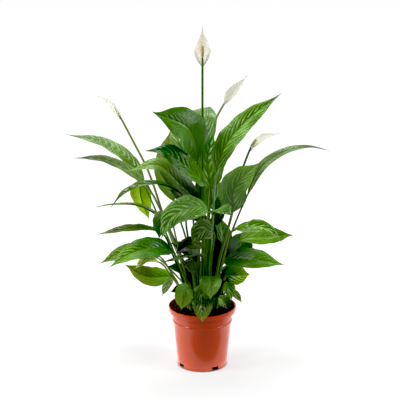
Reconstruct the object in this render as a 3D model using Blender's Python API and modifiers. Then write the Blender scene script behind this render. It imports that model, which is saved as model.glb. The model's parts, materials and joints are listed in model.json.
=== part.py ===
"""Potted peace lily: a nursery pot, its soil, the leaves with their stalks, and the flowers.

Lengths are written in millimetres and turned into metres where a mesh is made. +Z is up, the
origin is the middle of the pot's underside, and -Y is the side that the plant is seen from.
"""

import math
from dataclasses import dataclass

import bmesh
import bpy
from mathutils import Matrix, Vector

MM = 0.001
FIT = 0.3  # gap between pieces that touch or are set into one another

# Pot
POT_HEIGHT = 120
POT_SIDES = 40
RIM_RADIUS = 65
LIP_WIDTH = 2.8
LIP_DEPTH = 10
COLLAR_BOTTOM = 92
COLLAR_SIDE = ((95, 57.9), (106, 58.8))  # height and outer radius
BODY_SIDE = ((13, 48.7), (32, 49.8), (60, 52.2), (88, 54.8))  # the same, under the collar
BEAD = 2.8  # the collar's lower edge stands out from the body by this
FOOT_HEIGHT = 8.5
FOOT_RADIUS = 47.5
FOOT_WIDTH = 2.4
WALL = 1.7
FLOOR_TOP = 10.5
FLOOR_CORNER = 1.2
PAD_RADIUS = 8
NOTCH_WIDTH = 15
NOTCH_DEPTH = 14
NOTCH_AZIMUTHS = (-148, -58, 32, 122)
DRAIN_RADIUS = 5
DRAIN_RING = 32
DRAIN_TURN = 45  # drain holes stand between the notches
PAST = 4  # a cutter runs past the wall by this

# Soil
SOIL_EDGE = 116.5
SOIL_TOP = 118
SOIL_REACH = 60  # radius where the dome of its top ends
SOIL_RINGS = (20, 36, 48)
SOIL_SIDES = 32
SOCKET_DEPTH = 10
SOCKET_SIDES = 8

# Crown: the feet of leaves and flower stalks stand on a staggered grid
FOOT_STEP = 9
FOOT_ROW = 8

# Leaves
STALK_RISE = 4  # a leaf's stalk leaves the soil upright over this height
STALK_FOOT_RADIUS = 2.6
STALK_NECK_RADIUS = 1.5
BLADE_EDGE = 0.5
BLADE_THICKNESS = 1.0
MIDRIB_DEPTH = 2.4
WIDEST_AT = 0.4
FOLD = 0.16  # how far the blade's halves rise from the midrib, against their width
LEAN_POWER = 1.4  # a stalk starts upright and leans further out as it rises
LEAN_STOPS = (0.35, 0.7)
STALK_RINGS = (0.25, 0.5, 0.75)
BLADE_RINGS = (0, 0.1, 0.28, 0.5, 0.72, 0.9, 1)

# Flowers
FLOWER_RISE = 8
FLOWER_STATIONS = 14
FLOWER_FOOT_RADIUS = 2.0
FLOWER_STALK_RADIUS = 1.5
SPATHE_THICKNESS = 0.8
SPATHE_CUP = 0.35  # how far its edges come forward, against their distance from its midrib
SPATHE_WIDEST = 0.38
SPATHE_BASE = 0.12  # half width at its base, against its widest
SPATHE_GRID = (4, 8)  # faces across and along
SPADIX_SIDES = 10
SPADIX_SECTION = ((0.55, 0.97), (0.88, 0.85), (1, 0.6), (1, 0.25), (0.8, 0.08))
SPADIX_RADIUS = 3.2
SPADIX_NECK = 1.2


@dataclass(frozen=True)
class Leaf:
    """One leaf: its foot on the crown's grid, then places in millimetres up to its tip."""

    foot: tuple  # column, row
    neck: tuple  # where the stalk ends and the blade starts
    ridge: tuple  # places that the midrib passes
    tip: tuple
    width: float
    face: tuple  # azimuth and elevation that the blade's upper side looks to, at its base
    face_tip: tuple  # the same at its tip


@dataclass(frozen=True)
class Flower:
    """One flower: a stalk, the white spathe behind, and the spadix in front of it."""

    foot: tuple
    route: tuple  # places that the stalk passes, from the lowest, up to its top
    ridge: tuple  # a place on the spathe's midrib
    tip: tuple
    width: float
    face: tuple
    spadix: float  # length of the spadix
    lean: tuple  # direction of the spadix: azimuth and elevation
    bare: float  # length of stalk between the spathe's base and the spadix


LEAVES = {
    # broad leaf over the middle, arching to the left
    "leaf_01": Leaf(
        (-1, 1), (-10, -30, 415), ((-25, -60, 480),), (-90, -80, 520),
        80, (-50, 35), (-75, 45),
    ),
    # top leaf, turning away behind
    "leaf_02": Leaf(
        (0, 3), (5, 40, 415), ((5, 65, 475),), (-25, 150, 470),
        58, (-95, 40), (-90, 80),
    ),
    # upper middle, pointing left
    "leaf_03": Leaf(
        (0, 0), (5, -60, 375), ((-35, -95, 425), (-65, -95, 450)), (-105, -90, 450),
        48, (-75, 45), (-80, 60),
    ),
    # dark leaf under the upper middle one
    "leaf_04": Leaf(
        (-1, 0), (-5, -25, 325), ((-45, -40, 375), (-80, -45, 410)), (-140, -50, 400),
        54, (-70, 25), (-95, 75),
    ),
    # upright leaf behind the broad one
    "leaf_05": Leaf(
        (-1, 2), (-25, 5, 390), ((-40, 0, 435),), (-60, 10, 475),
        38, (-100, 20), (-90, 20),
    ),
    # tall yellow-green leaf at the back left
    "leaf_06": Leaf(
        (-1, 3), (-55, 60, 310), ((-70, 90, 370),), (-60, 105, 445),
        48, (-80, -5), (-80, 10),
    ),
    # long bright leaf, rising to the right
    "leaf_07": Leaf(
        (1, 1), (25, -15, 380), ((40, -30, 440), (75, -30, 485)), (145, -15, 540),
        52, (-110, 35), (-110, 40),
    ),
    # upright leaf in the middle
    "leaf_08": Leaf(
        (1, 2), (15, 0, 350), ((10, 5, 410),), (20, 20, 455),
        58, (-90, 10), (-90, 20),
    ),
    # dark leaf right of the middle
    "leaf_09": Leaf(
        (2, 0), (55, -30, 315), ((60, -45, 370),), (105, -40, 415),
        54, (-95, 20), (-100, 35),
    ),
    # longest leaf, sweeping right
    "leaf_10": Leaf(
        (2, 2), (85, 30, 330), ((115, 45, 385), (165, 50, 415), (205, 55, 420)), (250, 60, 410),
        46, (-110, 30), (-80, 95),
    ),
    # small leaf behind the right middle
    "leaf_11": Leaf(
        (0, 4), (25, 50, 290), ((30, 70, 320),), (50, 95, 345),
        40, (-80, 20), (-90, 70),
    ),
    # dark leaf seen on edge, its tip hanging
    "leaf_12": Leaf(
        (-2, -1), (-40, -70, 365), ((-85, -90, 390), (-140, -95, 375)), (-170, -90, 340),
        40, (-90, 97), (-80, 70),
    ),
    # thin leaf on edge at the far left
    "leaf_13": Leaf(
        (-2, 2), (-80, 35, 285), ((-120, 50, 305), (-170, 60, 305)), (-215, 70, 295),
        36, (90, 80), (90, 75),
    ),
    # yellow-green leaf that hangs at the back left
    "leaf_14": Leaf(
        (-3, 2), (-120, 85, 345), ((-120, 105, 305),), (-105, 105, 260),
        42, (-90, 90), (-90, 165),
    ),
    # upper left, sweeping out and back
    "leaf_15": Leaf(
        (-2, 1), (-110, 45, 355), ((-140, 70, 390), (-185, 95, 415)), (-265, 115, 430),
        42, (-75, 60), (-80, 60),
    ),
    # upper left, under the first
    "leaf_16": Leaf(
        (-2, 0), (-100, -25, 360), ((-140, -35, 400), (-180, -40, 420)), (-240, -45, 425),
        40, (-80, 60), (-90, 72),
    ),
    # left, held flat
    "leaf_17": Leaf(
        (-3, 0), (-75, -30, 275), ((-125, -65, 295),), (-195, -85, 290),
        48, (-90, 82), (-90, 80),
    ),
    # oval leaf that nods forward
    "leaf_18": Leaf(
        (-3, -1), (-65, -40, 320), ((-75, -65, 310),), (-80, -80, 280),
        44, (-100, 35), (-90, 10),
    ),
    # pale corrugated leaf, front and centre
    "leaf_19": Leaf(
        (0, -1), (10, -60, 330), ((-25, -100, 345), (-55, -120, 335)), (-75, -125, 295),
        50, (-75, 50), (-110, 25),
    ),
    # leaf that points at the viewer
    "leaf_20": Leaf(
        (1, 0), (20, -40, 315), ((40, -80, 335),), (55, -100, 330),
        38, (-90, 80), (-80, 45),
    ),
    # crumpled leaf, low in the middle
    "leaf_21": Leaf(
        (1, -1), (20, -55, 285), ((0, -75, 295),), (-20, -95, 275),
        40, (-80, 40), (-95, 20),
    ),
    # dark leaf among the stalks
    "leaf_22": Leaf(
        (-1, -1), (0, -45, 255), ((-25, -60, 260),), (-50, -75, 250),
        34, (-80, 45), (-80, 45),
    ),
    # small shining leaf among the stalks
    "leaf_23": Leaf(
        (0, -2), (0, -65, 240), ((-15, -90, 255),), (-30, -100, 250),
        24, (-80, 85), (-90, 60),
    ),
    # large leaf, lower left, in front
    "leaf_24": Leaf(
        (-2, -2), (-55, -65, 250), ((-95, -105, 270), (-130, -120, 265)), (-170, -125, 240),
        48, (-85, 50), (-95, 60),
    ),
    # lower left, behind the large one
    "leaf_25": Leaf(
        (-4, 1), (-80, 20, 210), ((-140, 30, 220),), (-200, 40, 190),
        40, (-90, 55), (-90, 45),
    ),
    # lower left, at the back, on edge
    "leaf_26": Leaf(
        (-2, 3), (-85, 70, 190), ((-135, 100, 205),), (-185, 125, 185),
        34, (90, 80), (90, 80),
    ),
    # bright leaf, low on the left
    "leaf_27": Leaf(
        (-4, -1), (-55, -30, 185), ((-100, -50, 195),), (-145, -65, 225),
        40, (-95, 45), (-90, 40),
    ),
    # small pale leaf over the bright one
    "leaf_28": Leaf(
        (-3, -2), (-80, -95, 240), ((-100, -105, 250),), (-125, -105, 230),
        20, (-90, 75), (-90, 50),
    ),
    # small leaf that hangs, low on the left
    "leaf_29": Leaf(
        (-3, -3), (-55, -70, 200), ((-65, -80, 190),), (-75, -85, 170),
        24, (-120, 30), (-120, 10),
    ),
    # dark leaf on edge across the stalks
    "leaf_30": Leaf(
        (-1, -2), (-25, -60, 240), ((-50, -80, 240),), (-75, -80, 235),
        24, (-90, 100), (-90, 95),
    ),
    # veined leaf on the right, nodding
    "leaf_31": Leaf(
        (2, -1), (55, -65, 290), ((85, -100, 310), (115, -110, 310)), (145, -115, 285),
        46, (-90, 70), (-80, 55),
    ),
    # bright leaf on the far right
    "leaf_32": Leaf(
        (3, 1), (70, -5, 250), ((125, 10, 255),), (175, 20, 255),
        44, (-90, 60), (-90, 55),
    ),
    # dark leaf behind the right
    "leaf_33": Leaf(
        (3, 2), (50, 45, 185), ((70, 65, 210),), (90, 90, 245),
        54, (-95, 15), (-90, 20),
    ),
    # bright leaf, right, in front
    "leaf_34": Leaf(
        (2, -2), (40, -55, 225), ((90, -95, 245),), (150, -110, 240),
        48, (-90, 55), (-90, 50),
    ),
    # low on the right, behind
    "leaf_35": Leaf(
        (3, 0), (45, -15, 185), ((70, -25, 190),), (90, -35, 195),
        40, (-90, 30), (-85, 20),
    ),
    # small leaf, low on the right
    "leaf_36": Leaf(
        (3, -2), (45, -50, 185), ((50, -60, 175),), (55, -65, 155),
        26, (-60, 35), (-60, 20),
    ),
    # small leaf, lowest right
    "leaf_37": Leaf(
        (3, -1), (45, -35, 160), ((60, -45, 160),), (75, -55, 145),
        26, (-90, 60), (-70, 40),
    ),
    # dark leaf over the soil on the right
    "leaf_38": Leaf(
        (1, -3), (30, -40, 150), ((40, -45, 145),), (50, -55, 130),
        26, (-80, 50), (-80, 30),
    ),
    # bright leaf that hangs over the crown
    "leaf_39": Leaf(
        (1, -2), (15, -35, 190), ((15, -65, 185),), (15, -90, 165),
        42, (-90, 115), (-90, 25),
    ),
    # dark leaf under it
    "leaf_40": Leaf(
        (0, -3), (5, -45, 180), ((0, -55, 165),), (0, -70, 145),
        32, (-95, 115), (-90, 20),
    ),
    # lowest leaf, its tip over the rim
    "leaf_41": Leaf(
        (0, -4), (0, -40, 140), ((0, -55, 145),), (0, -80, 115),
        38, (-90, 95), (-90, 40),
    ),
    # bright leaf that hangs at the front left
    "leaf_42": Leaf(
        (-2, -3), (-20, -60, 175), ((-30, -70, 175),), (-40, -80, 140),
        36, (-75, 45), (-80, 20),
    ),
    # upright leaf in the shade at the back
    "leaf_43": Leaf(
        (1, 3), (35, 55, 185), ((40, 80, 225),), (35, 100, 270),
        42, (-90, 5), (-90, 15),
    ),
    # small dark leaf, low in the middle
    "leaf_44": Leaf(
        (-1, -3), (-10, -55, 205), ((-25, -70, 225),), (-40, -80, 235),
        28, (-80, 40), (-80, 40),
    ),
}

FLOWERS = {
    "flower_1": Flower(
        (0, 1), ((0, -10, 335), (0, -10, 475), (0, -10, 535), (0, -10, 605)),
        (0, 0, 615), (0, 5, 660), 30, (-90, 5), 24, (-90, 84), 17,
    ),
    "flower_2": Flower(
        (0, 2), ((15, 15, 355), (20, 30, 440), (25, 25, 480), (45, 20, 520)),
        (60, 10, 540), (85, 10, 570), 22, (100, 20), 24, (50, 54), 9,
    ),
    "flower_3": Flower(
        (2, 1), ((60, -10, 325), (75, -10, 395), (90, -5, 435)),
        (110, -10, 450), (145, -15, 465), 24, (-150, 45), 20, (-27, 54), 8,
    ),
    "flower_4": Flower(
        (-3, 1), ((-75, 10, 300), (-105, 15, 390), (-130, 20, 440), (-155, 20, 490)),
        (-175, 20, 510), (-200, 20, 530), 20, (-20, 45), 20, (-171, 60), 8,
    ),
}


def direction(azimuth, elevation):
    """Unit vector for an azimuth from +X and an elevation from the floor, in degrees."""
    a = math.radians(azimuth)
    e = math.radians(elevation)
    return Vector((math.cos(a) * math.cos(e), math.sin(a) * math.cos(e), math.sin(e)))


def soil_height(x, y):
    """Height of the soil's domed top over the pot's floor plane."""
    reach = min(1.0, math.hypot(x, y) / SOIL_REACH)
    return SOIL_TOP - (SOIL_TOP - SOIL_EDGE) * reach**2


def foot_place(foot):
    """Where a foot of the crown's grid meets the soil."""
    column, row = foot
    x = (column + 0.5 * (row % 2)) * FOOT_STEP
    y = row * FOOT_ROW
    return Vector((x, y, soil_height(x, y)))


def spline(points, steps=16):
    """Points along a smooth curve through the given ones, with the place of each among them."""
    ends = [points[0] * 2 - points[1], *points, points[-1] * 2 - points[-2]]
    slopes = []
    for before, here, after in zip(ends, ends[1:], ends[2:]):
        come = here - before
        leave = after - here
        slopes.append(
            (come.normalized() * leave.length + leave.normalized() * come.length)
            / (come.length + leave.length)
        )
    line = []
    marks = []
    for a, b, slope_a, slope_b in zip(points, points[1:], slopes, slopes[1:]):
        marks.append(len(line))
        span = (b - a).length
        for i in range(steps):
            t = i / steps
            line.append(
                a * (2 * t**3 - 3 * t**2 + 1)
                + slope_a * span * (t**3 - 2 * t**2 + t)
                + b * (3 * t**2 - 2 * t**3)
                + slope_b * span * (t**3 - t**2)
            )
    line.append(points[-1])
    marks.append(len(line) - 1)
    return line, marks


class Path:
    """A smooth curve that gives a place and a direction at any length along it."""

    def __init__(self, points):
        self.line, self.marks = spline(points)
        self.far = [0.0]
        for a, b in zip(self.line, self.line[1:]):
            self.far.append(self.far[-1] + (b - a).length)

    def length_at(self, mark):
        """Length up to one of the points that the curve was made through."""
        return self.far[self.marks[mark]]

    def place(self, length):
        """Place at this length along the curve."""
        for i in range(1, len(self.far)):
            if self.far[i] >= length:
                share = (length - self.far[i - 1]) / (self.far[i] - self.far[i - 1])
                return self.line[i - 1].lerp(self.line[i], share)
        return self.line[-1].copy()

    def heading(self, length):
        """Direction of travel at this length along the curve."""
        reach = 1.5
        low = max(0.0, length - reach)
        high = min(self.far[-1], length + reach)
        return (self.place(high) - self.place(low)).normalized()


def leaf_path(leaf):
    """The whole line of a leaf, from the bottom of its socket to its tip."""
    soil = foot_place(leaf.foot)
    neck = Vector(leaf.neck)
    rise = neck - soil
    points = [soil - Vector((0, 0, SOCKET_DEPTH)), soil + Vector((0, 0, 4))]
    for share in (0.35, 0.7):
        lean = share**LEAN_POWER
        points.append(soil + Vector((rise.x * lean, rise.y * lean, rise.z * share)))
    points.append(neck)
    points += [Vector(place) for place in leaf.ridge]
    points.append(Vector(leaf.tip))
    return Path(points)


def turned(normal, before, after):
    """The normal carried along a curve whose direction turns from before to after."""
    return before.rotation_difference(after) @ normal


def blade_half_width(share):
    """Half width of a blade over its full half width, from 0 at its base to 1 at its tip."""
    if share < WIDEST_AT:
        return 1 - (1 - share / WIDEST_AT) ** 2.4
    past = (share - WIDEST_AT) / (1 - WIDEST_AT)
    return (1 - past**2.2) * (1 - 0.12 * past)


def ring_of(place, side, normal, offsets):
    """Points around a section, from offsets to the side and along the normal."""
    return [(place + side * across + normal * up) for across, up in offsets]


def round_offsets(radius):
    """Eight offsets on a circle, in the order of a blade's section."""
    angles = [math.pi - i * math.pi / 4 for i in range(8)]
    return [(radius * math.cos(a), radius * math.sin(a)) for a in angles]


def blade_offsets(half, share):
    """Eight offsets of a blade's section: its edges, the midrib and a place between them."""
    taper = 1 - 0.7 * share
    thin = BLADE_THICKNESS / 2 * taper
    quarter = half / 2
    rise = FOLD * half
    return [
        (-half, rise),
        (-quarter, rise / 2 + thin),
        (0, thin),
        (quarter, rise / 2 + thin),
        (half, rise),
        (quarter, rise / 2 - thin),
        (0, -MIDRIB_DEPTH * taper),
        (-quarter, rise / 2 - thin),
    ]


def leaf_rings(leaf):
    """Sections of a leaf, round along its stalk and flat along its blade."""
    path = leaf_path(leaf)
    neck = path.length_at(4)
    total = path.far[-1]
    heading = path.heading(neck)
    face = direction(*leaf.face)
    normal = (face - heading * face.dot(heading)).normalized()
    rings = []
    last = heading
    free = neck - SOCKET_DEPTH
    lengths = [SOCKET_DEPTH + free * share for share in reversed(STALK_RINGS)]
    for length in [*lengths, SOCKET_DEPTH, 0]:
        now = path.heading(length)
        normal = turned(normal, last, now)
        last = now
        radius = STALK_FOOT_RADIUS + (STALK_NECK_RADIUS - STALK_FOOT_RADIUS) * length / neck
        side = now.cross(normal)
        rings.insert(0, ring_of(path.place(length), side, normal, round_offsets(radius)))
    azimuth, elevation = leaf.face
    turn = leaf.face_tip[0] - azimuth
    lift = leaf.face_tip[1] - elevation
    for share in BLADE_RINGS:
        length = neck + (total - neck) * share
        now = path.heading(length)
        face = direction(azimuth + turn * share, elevation + lift * share)
        normal = (face - now * face.dot(now)).normalized()
        side = now.cross(normal)
        half = max(BLADE_EDGE, leaf.width / 2 * blade_half_width(share))
        offsets = blade_offsets(half, share)
        if share == 0:
            offsets = round_offsets(STALK_NECK_RADIUS)
        rings.append(ring_of(path.place(length), side, normal, offsets))
    return rings


def collection_named(name):
    """A new collection in the scene."""
    made = bpy.data.collections.new(name)
    bpy.context.scene.collection.children.link(made)
    return made


def material(name, colour, roughness, metallic=0.0):
    """A Principled material of one colour."""
    made = bpy.data.materials.new(name)
    made.use_nodes = True
    shader = made.node_tree.nodes["Principled BSDF"]
    shader.inputs["Base Color"].default_value = (*colour, 1)
    shader.inputs["Roughness"].default_value = roughness
    shader.inputs["Metallic"].default_value = metallic
    return made


def object_of(name, data, collection, finish=None):
    """An object for this mesh or curve in this collection."""
    made = bpy.data.objects.new(name, data)
    collection.objects.link(made)
    if finish:
        data.materials.append(finish)
    return made


def mesh_of(name, bm):
    """A smooth-shaded mesh in metres from a bmesh in millimetres."""
    bmesh.ops.scale(bm, vec=(MM, MM, MM), verts=bm.verts)
    bmesh.ops.recalc_face_normals(bm, faces=bm.faces)
    mesh = bpy.data.meshes.new(name)
    bm.to_mesh(mesh)
    bm.free()
    mesh.shade_smooth()
    return mesh


def loft(name, rings):
    """A closed mesh through rings of equally many points, with a cap on each end.

    A ring's first half is the upper side of a blade and its second half the under side, from
    edge to edge and back. Both sides are split along matching diagonals, so that they stay
    apart where a blade twists.
    """
    bm = bmesh.new()
    loops = [[bm.verts.new(point) for point in ring] for ring in rings]
    sides = len(loops[0])
    for low, high in zip(loops, loops[1:]):
        for i in range(sides):
            j = (i + 1) % sides
            if i < sides / 2:
                bm.faces.new((low[i], low[j], high[j]))
                bm.faces.new((low[i], high[j], high[i]))
            else:
                bm.faces.new((low[i], low[j], high[i]))
                bm.faces.new((low[j], high[j], high[i]))
    for cap in (loops[0], loops[-1]):
        bm.faces.new(cap)
    return mesh_of(name, bm)


def turned_body(name, profile, collection, sides, finish):
    """A body turned round +Z from (radius, height) points that run down its outer side."""
    bm = bmesh.new()
    points = [bm.verts.new((radius * MM, 0, height * MM)) for radius, height in profile]
    for a, b in zip(points, points[1:]):
        bm.edges.new((a, b))
    mesh = bpy.data.meshes.new(name)
    bm.to_mesh(mesh)
    bm.free()
    made = object_of(name, mesh, collection, finish)
    screw = made.modifiers.new("turn", "SCREW")
    screw.steps = sides
    screw.render_steps = sides
    screw.use_merge_vertices = True
    screw.merge_threshold = 0.00001
    screw.use_smooth_shade = True
    return made


def as_cutter(made):
    """Mark an object as a shape that only cuts."""
    made.hide_render = True
    made.display_type = "WIRE"


def upright_cutter(name, radius, heights, place, sides, collection):
    """An upright cylinder that cuts, between two heights over a place on the floor."""
    low, high = heights
    bm = bmesh.new()
    bmesh.ops.create_cone(
        bm, cap_ends=True, segments=sides, radius1=radius, radius2=radius, depth=high - low
    )
    bmesh.ops.translate(bm, vec=(*place, (low + high) / 2), verts=bm.verts)
    as_cutter(object_of(name, mesh_of(name, bm), collection))


def cut_with(body, cutters):
    """Take every shape of a collection out of a body."""
    cut = body.modifiers.new("cut", "BOOLEAN")
    cut.operation = "DIFFERENCE"
    cut.operand_type = "COLLECTION"
    cut.collection = cutters


def pot_profile():
    """The pot's section, from the middle of its floor, up inside and down its outer side."""
    outside = [*BODY_SIDE, *COLLAR_SIDE]
    inside = [(radius - WALL, height) for height, radius in outside]
    inside[0] = (inside[0][0] - FLOOR_CORNER / 2, inside[0][1])
    inner_lip = RIM_RADIUS - LIP_WIDTH
    lip_bottom = POT_HEIGHT - LIP_DEPTH
    body_top = BODY_SIDE[-1][1]
    return [
        (0, FLOOR_TOP),
        (inside[0][0] - FLOOR_CORNER, FLOOR_TOP),
        *inside,
        (inner_lip - 0.6, POT_HEIGHT - 3.5),
        (inner_lip, POT_HEIGHT - 0.6),
        (inner_lip + 0.8, POT_HEIGHT),
        (RIM_RADIUS - 0.7, POT_HEIGHT),
        (RIM_RADIUS, POT_HEIGHT - 0.9),
        (RIM_RADIUS - 0.6, lip_bottom + 0.6),
        (RIM_RADIUS - 1.2, lip_bottom),
        (COLLAR_SIDE[-1][1] + 1.2, lip_bottom - 0.6),
        (COLLAR_SIDE[-1][1], COLLAR_SIDE[-1][0]),
        (body_top + BEAD, COLLAR_BOTTOM),
        (body_top + BEAD + 0.3, COLLAR_BOTTOM - 0.6),
        (body_top + BEAD - 0.2, COLLAR_BOTTOM - 2),
        (body_top + 0.1, COLLAR_BOTTOM - 2.8),
        *[(radius, height) for height, radius in reversed(BODY_SIDE[:-1])],
        (FOOT_RADIUS + 0.7, FOOT_HEIGHT + 0.6),
        (FOOT_RADIUS, FOOT_HEIGHT - 0.3),
        (FOOT_RADIUS - 0.4, 0.5),
        (FOOT_RADIUS - 0.9, 0),
        (FOOT_RADIUS - FOOT_WIDTH, 0),
        (FOOT_RADIUS - FOOT_WIDTH, FOOT_HEIGHT),
        (PAD_RADIUS, FOOT_HEIGHT),
        (PAD_RADIUS - 0.5, 0),
        (0, 0),
    ]


def inner_radius(height):
    """Radius of the pot's inside at a height over its floor."""
    inside = pot_profile()[1:10]
    for (r0, z0), (r1, z1) in zip(inside, inside[1:]):
        if z0 <= height <= z1:
            return r0 + (r1 - r0) * (height - z0) / (z1 - z0)
    return inside[-1][0]


def build_pot(parts, cutters, finish):
    """The nursery pot, with the gaps in its foot ring and the holes in its floor."""
    pot = turned_body("pot", pot_profile(), parts, POT_SIDES, finish)
    for i, azimuth in enumerate(NOTCH_AZIMUTHS):
        bm = bmesh.new()
        bmesh.ops.create_cube(bm, size=1)
        size = (NOTCH_DEPTH, NOTCH_WIDTH, FOOT_HEIGHT + PAST)
        bmesh.ops.scale(bm, vec=size, verts=bm.verts)
        middle = (FOOT_RADIUS - FOOT_WIDTH / 2, 0, (FOOT_HEIGHT - PAST) / 2)
        bmesh.ops.translate(bm, vec=middle, verts=bm.verts)
        turn = Matrix.Rotation(math.radians(azimuth), 3, "Z")
        bmesh.ops.rotate(bm, matrix=turn, verts=bm.verts)
        as_cutter(object_of(f"notch_{i + 1}", mesh_of(f"notch_{i + 1}", bm), cutters))
        x = DRAIN_RING * math.cos(math.radians(azimuth + DRAIN_TURN))
        y = DRAIN_RING * math.sin(math.radians(azimuth + DRAIN_TURN))
        low = FOOT_HEIGHT - PAST
        high = FLOOR_TOP + PAST
        upright_cutter(f"drain_{i + 1}", DRAIN_RADIUS, (low, high), (x, y), 16, cutters)
    cut_with(pot, cutters)


def build_soil(parts, cutters, finish):
    """The soil that fills the pot, with a socket for each foot that stands in it."""
    profile = [(radius, soil_height(radius, 0)) for radius in (0, *SOIL_RINGS)]
    profile.append((inner_radius(SOIL_EDGE) - FIT, SOIL_EDGE))
    for height, _ in reversed([*BODY_SIDE, *COLLAR_SIDE]):
        profile.append((inner_radius(height) - FIT, height))
    floor = FLOOR_TOP + FIT
    profile += [(inner_radius(floor) - 2 * FIT, floor), (0, floor)]
    soil = turned_body("soil", profile, parts, SOIL_SIDES, finish)
    for i, grown in enumerate([*LEAVES.values(), *FLOWERS.values()]):
        foot = foot_place(grown.foot)
        radius = STALK_FOOT_RADIUS if isinstance(grown, Leaf) else FLOWER_FOOT_RADIUS
        heights = (foot.z - SOCKET_DEPTH - FIT, foot.z + PAST)
        place = (foot.x, foot.y)
        upright_cutter(f"socket_{i + 1}", radius + 2 * FIT, heights, place, SOCKET_SIDES, cutters)
    cut_with(soil, cutters)


def build_leaf(name, leaf, parts, finish):
    """One leaf as it grew: stalk and blade in one piece."""
    object_of(name, loft(name, leaf_rings(leaf)), parts, finish)


def spathe_half_width(share):
    """Half width of a spathe over its full half width, from its base to its tip."""
    if share < SPATHE_WIDEST:
        return SPATHE_BASE + (1 - SPATHE_BASE) * (1 - (1 - share / SPATHE_WIDEST) ** 2)
    past = (share - SPATHE_WIDEST) / (1 - SPATHE_WIDEST)
    return max(0.03, (1 - past**1.7) * (1 - 0.35 * past))


def build_flower(name, flower, parts, finishes):
    """A flower's stalk, spathe and spadix."""
    foot = foot_place(flower.foot)
    points = [foot - Vector((0, 0, SOCKET_DEPTH)), foot + Vector((0, 0, FLOWER_RISE))]
    points += [Vector(place) for place in flower.route]
    path = Path(points)
    curve = bpy.data.curves.new(f"{name}_stalk", "CURVE")
    curve.dimensions = "3D"
    curve.bevel_depth = FLOWER_FOOT_RADIUS * MM
    curve.bevel_resolution = 2
    curve.use_fill_caps = True
    line = curve.splines.new("POLY")
    line.points.add(FLOWER_STATIONS)
    for i, point in enumerate(line.points):
        share = i / FLOWER_STATIONS
        point.co = (*(path.place(path.far[-1] * share) * MM), 1)
        point.radius = 1 - (1 - FLOWER_STALK_RADIUS / FLOWER_FOOT_RADIUS) * share
    object_of(f"{name}_stalk", curve, parts, finishes["stalk"])

    top = path.far[-1]
    face = direction(*flower.face)
    heading = path.heading(top - flower.bare)
    back = (face - heading * face.dot(heading)).normalized()
    away = FLOWER_STALK_RADIUS + FIT + SPATHE_THICKNESS
    base = path.place(top - flower.bare) - back * away
    midrib = Path([base - heading * 3, base, Vector(flower.ridge), Vector(flower.tip)])
    start = midrib.length_at(1)
    across, along = SPATHE_GRID
    bm = bmesh.new()
    bmesh.ops.create_grid(bm, x_segments=across, y_segments=along, size=0.5)
    for vert in bm.verts:
        share = vert.co.y + 0.5
        offset = vert.co.x * 2
        length = start + (midrib.far[-1] - start) * share
        now = midrib.heading(length)
        normal = (face - now * face.dot(now)).normalized()
        half = flower.width / 2 * spathe_half_width(share)
        cup = SPATHE_CUP * half * offset**2
        vert.co = midrib.place(length) + now.cross(normal) * half * offset + normal * cup
    spathe = object_of(f"{name}_spathe", mesh_of(f"{name}_spathe", bm), parts, finishes["spathe"])
    skin = spathe.modifiers.new("thickness", "SOLIDIFY")
    skin.thickness = SPATHE_THICKNESS * MM
    skin.offset = 0

    length = flower.spadix
    section = [(SPADIX_RADIUS * wide, length * high) for wide, high in SPADIX_SECTION]
    profile = [(0, length), *section, (SPADIX_NECK, 0), (0, 0)]
    spadix = turned_body(f"{name}_spadix", profile, parts, SPADIX_SIDES, finishes["spadix"])
    lean = direction(*flower.lean)
    heading = path.heading(top)
    clear = FIT + SPADIX_NECK * math.sin(heading.angle(lean))
    spadix.rotation_euler = Vector((0, 0, 1)).rotation_difference(lean).to_euler()
    spadix.location = (path.place(top) + heading * clear) * MM


def main():
    """Build the whole plant in its pot."""
    for old in list(bpy.data.objects):
        bpy.data.objects.remove(old, do_unlink=True)
    parts = collection_named("potted_peace_lily")
    pot_cuts = collection_named("pot_cuts")
    soil_cuts = collection_named("soil_cuts")
    build_pot(parts, pot_cuts, material("pot_plastic", (0.55, 0.12, 0.05), 0.4))
    build_soil(parts, soil_cuts, material("soil", (0.03, 0.018, 0.012), 0.95))
    green = material("leaf", (0.05, 0.2, 0.01), 0.4)
    for name, leaf in LEAVES.items():
        build_leaf(name, leaf, parts, green)
    finishes = {
        "stalk": material("flower_stalk", (0.12, 0.25, 0.03), 0.5),
        "spathe": material("spathe", (0.85, 0.84, 0.76), 0.5),
        "spadix": material("spadix", (0.6, 0.5, 0.25), 0.7),
    }
    for name, flower in FLOWERS.items():
        build_flower(name, flower, parts, finishes)


main()
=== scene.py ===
"""Potted peace lily: the looks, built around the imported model.

Every length is in metres, +Z is up, and the origin is the middle of the pot's underside. The
classes below each build one kind of piece and dress it in its finish. main() builds them all.
"""

import json
import logging
import math
import random
from dataclasses import dataclass
from enum import Enum
from typing import Any, Iterable, Sequence

import bmesh
import bpy
import numpy as np
from mathutils import Matrix, Vector, noise

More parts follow.
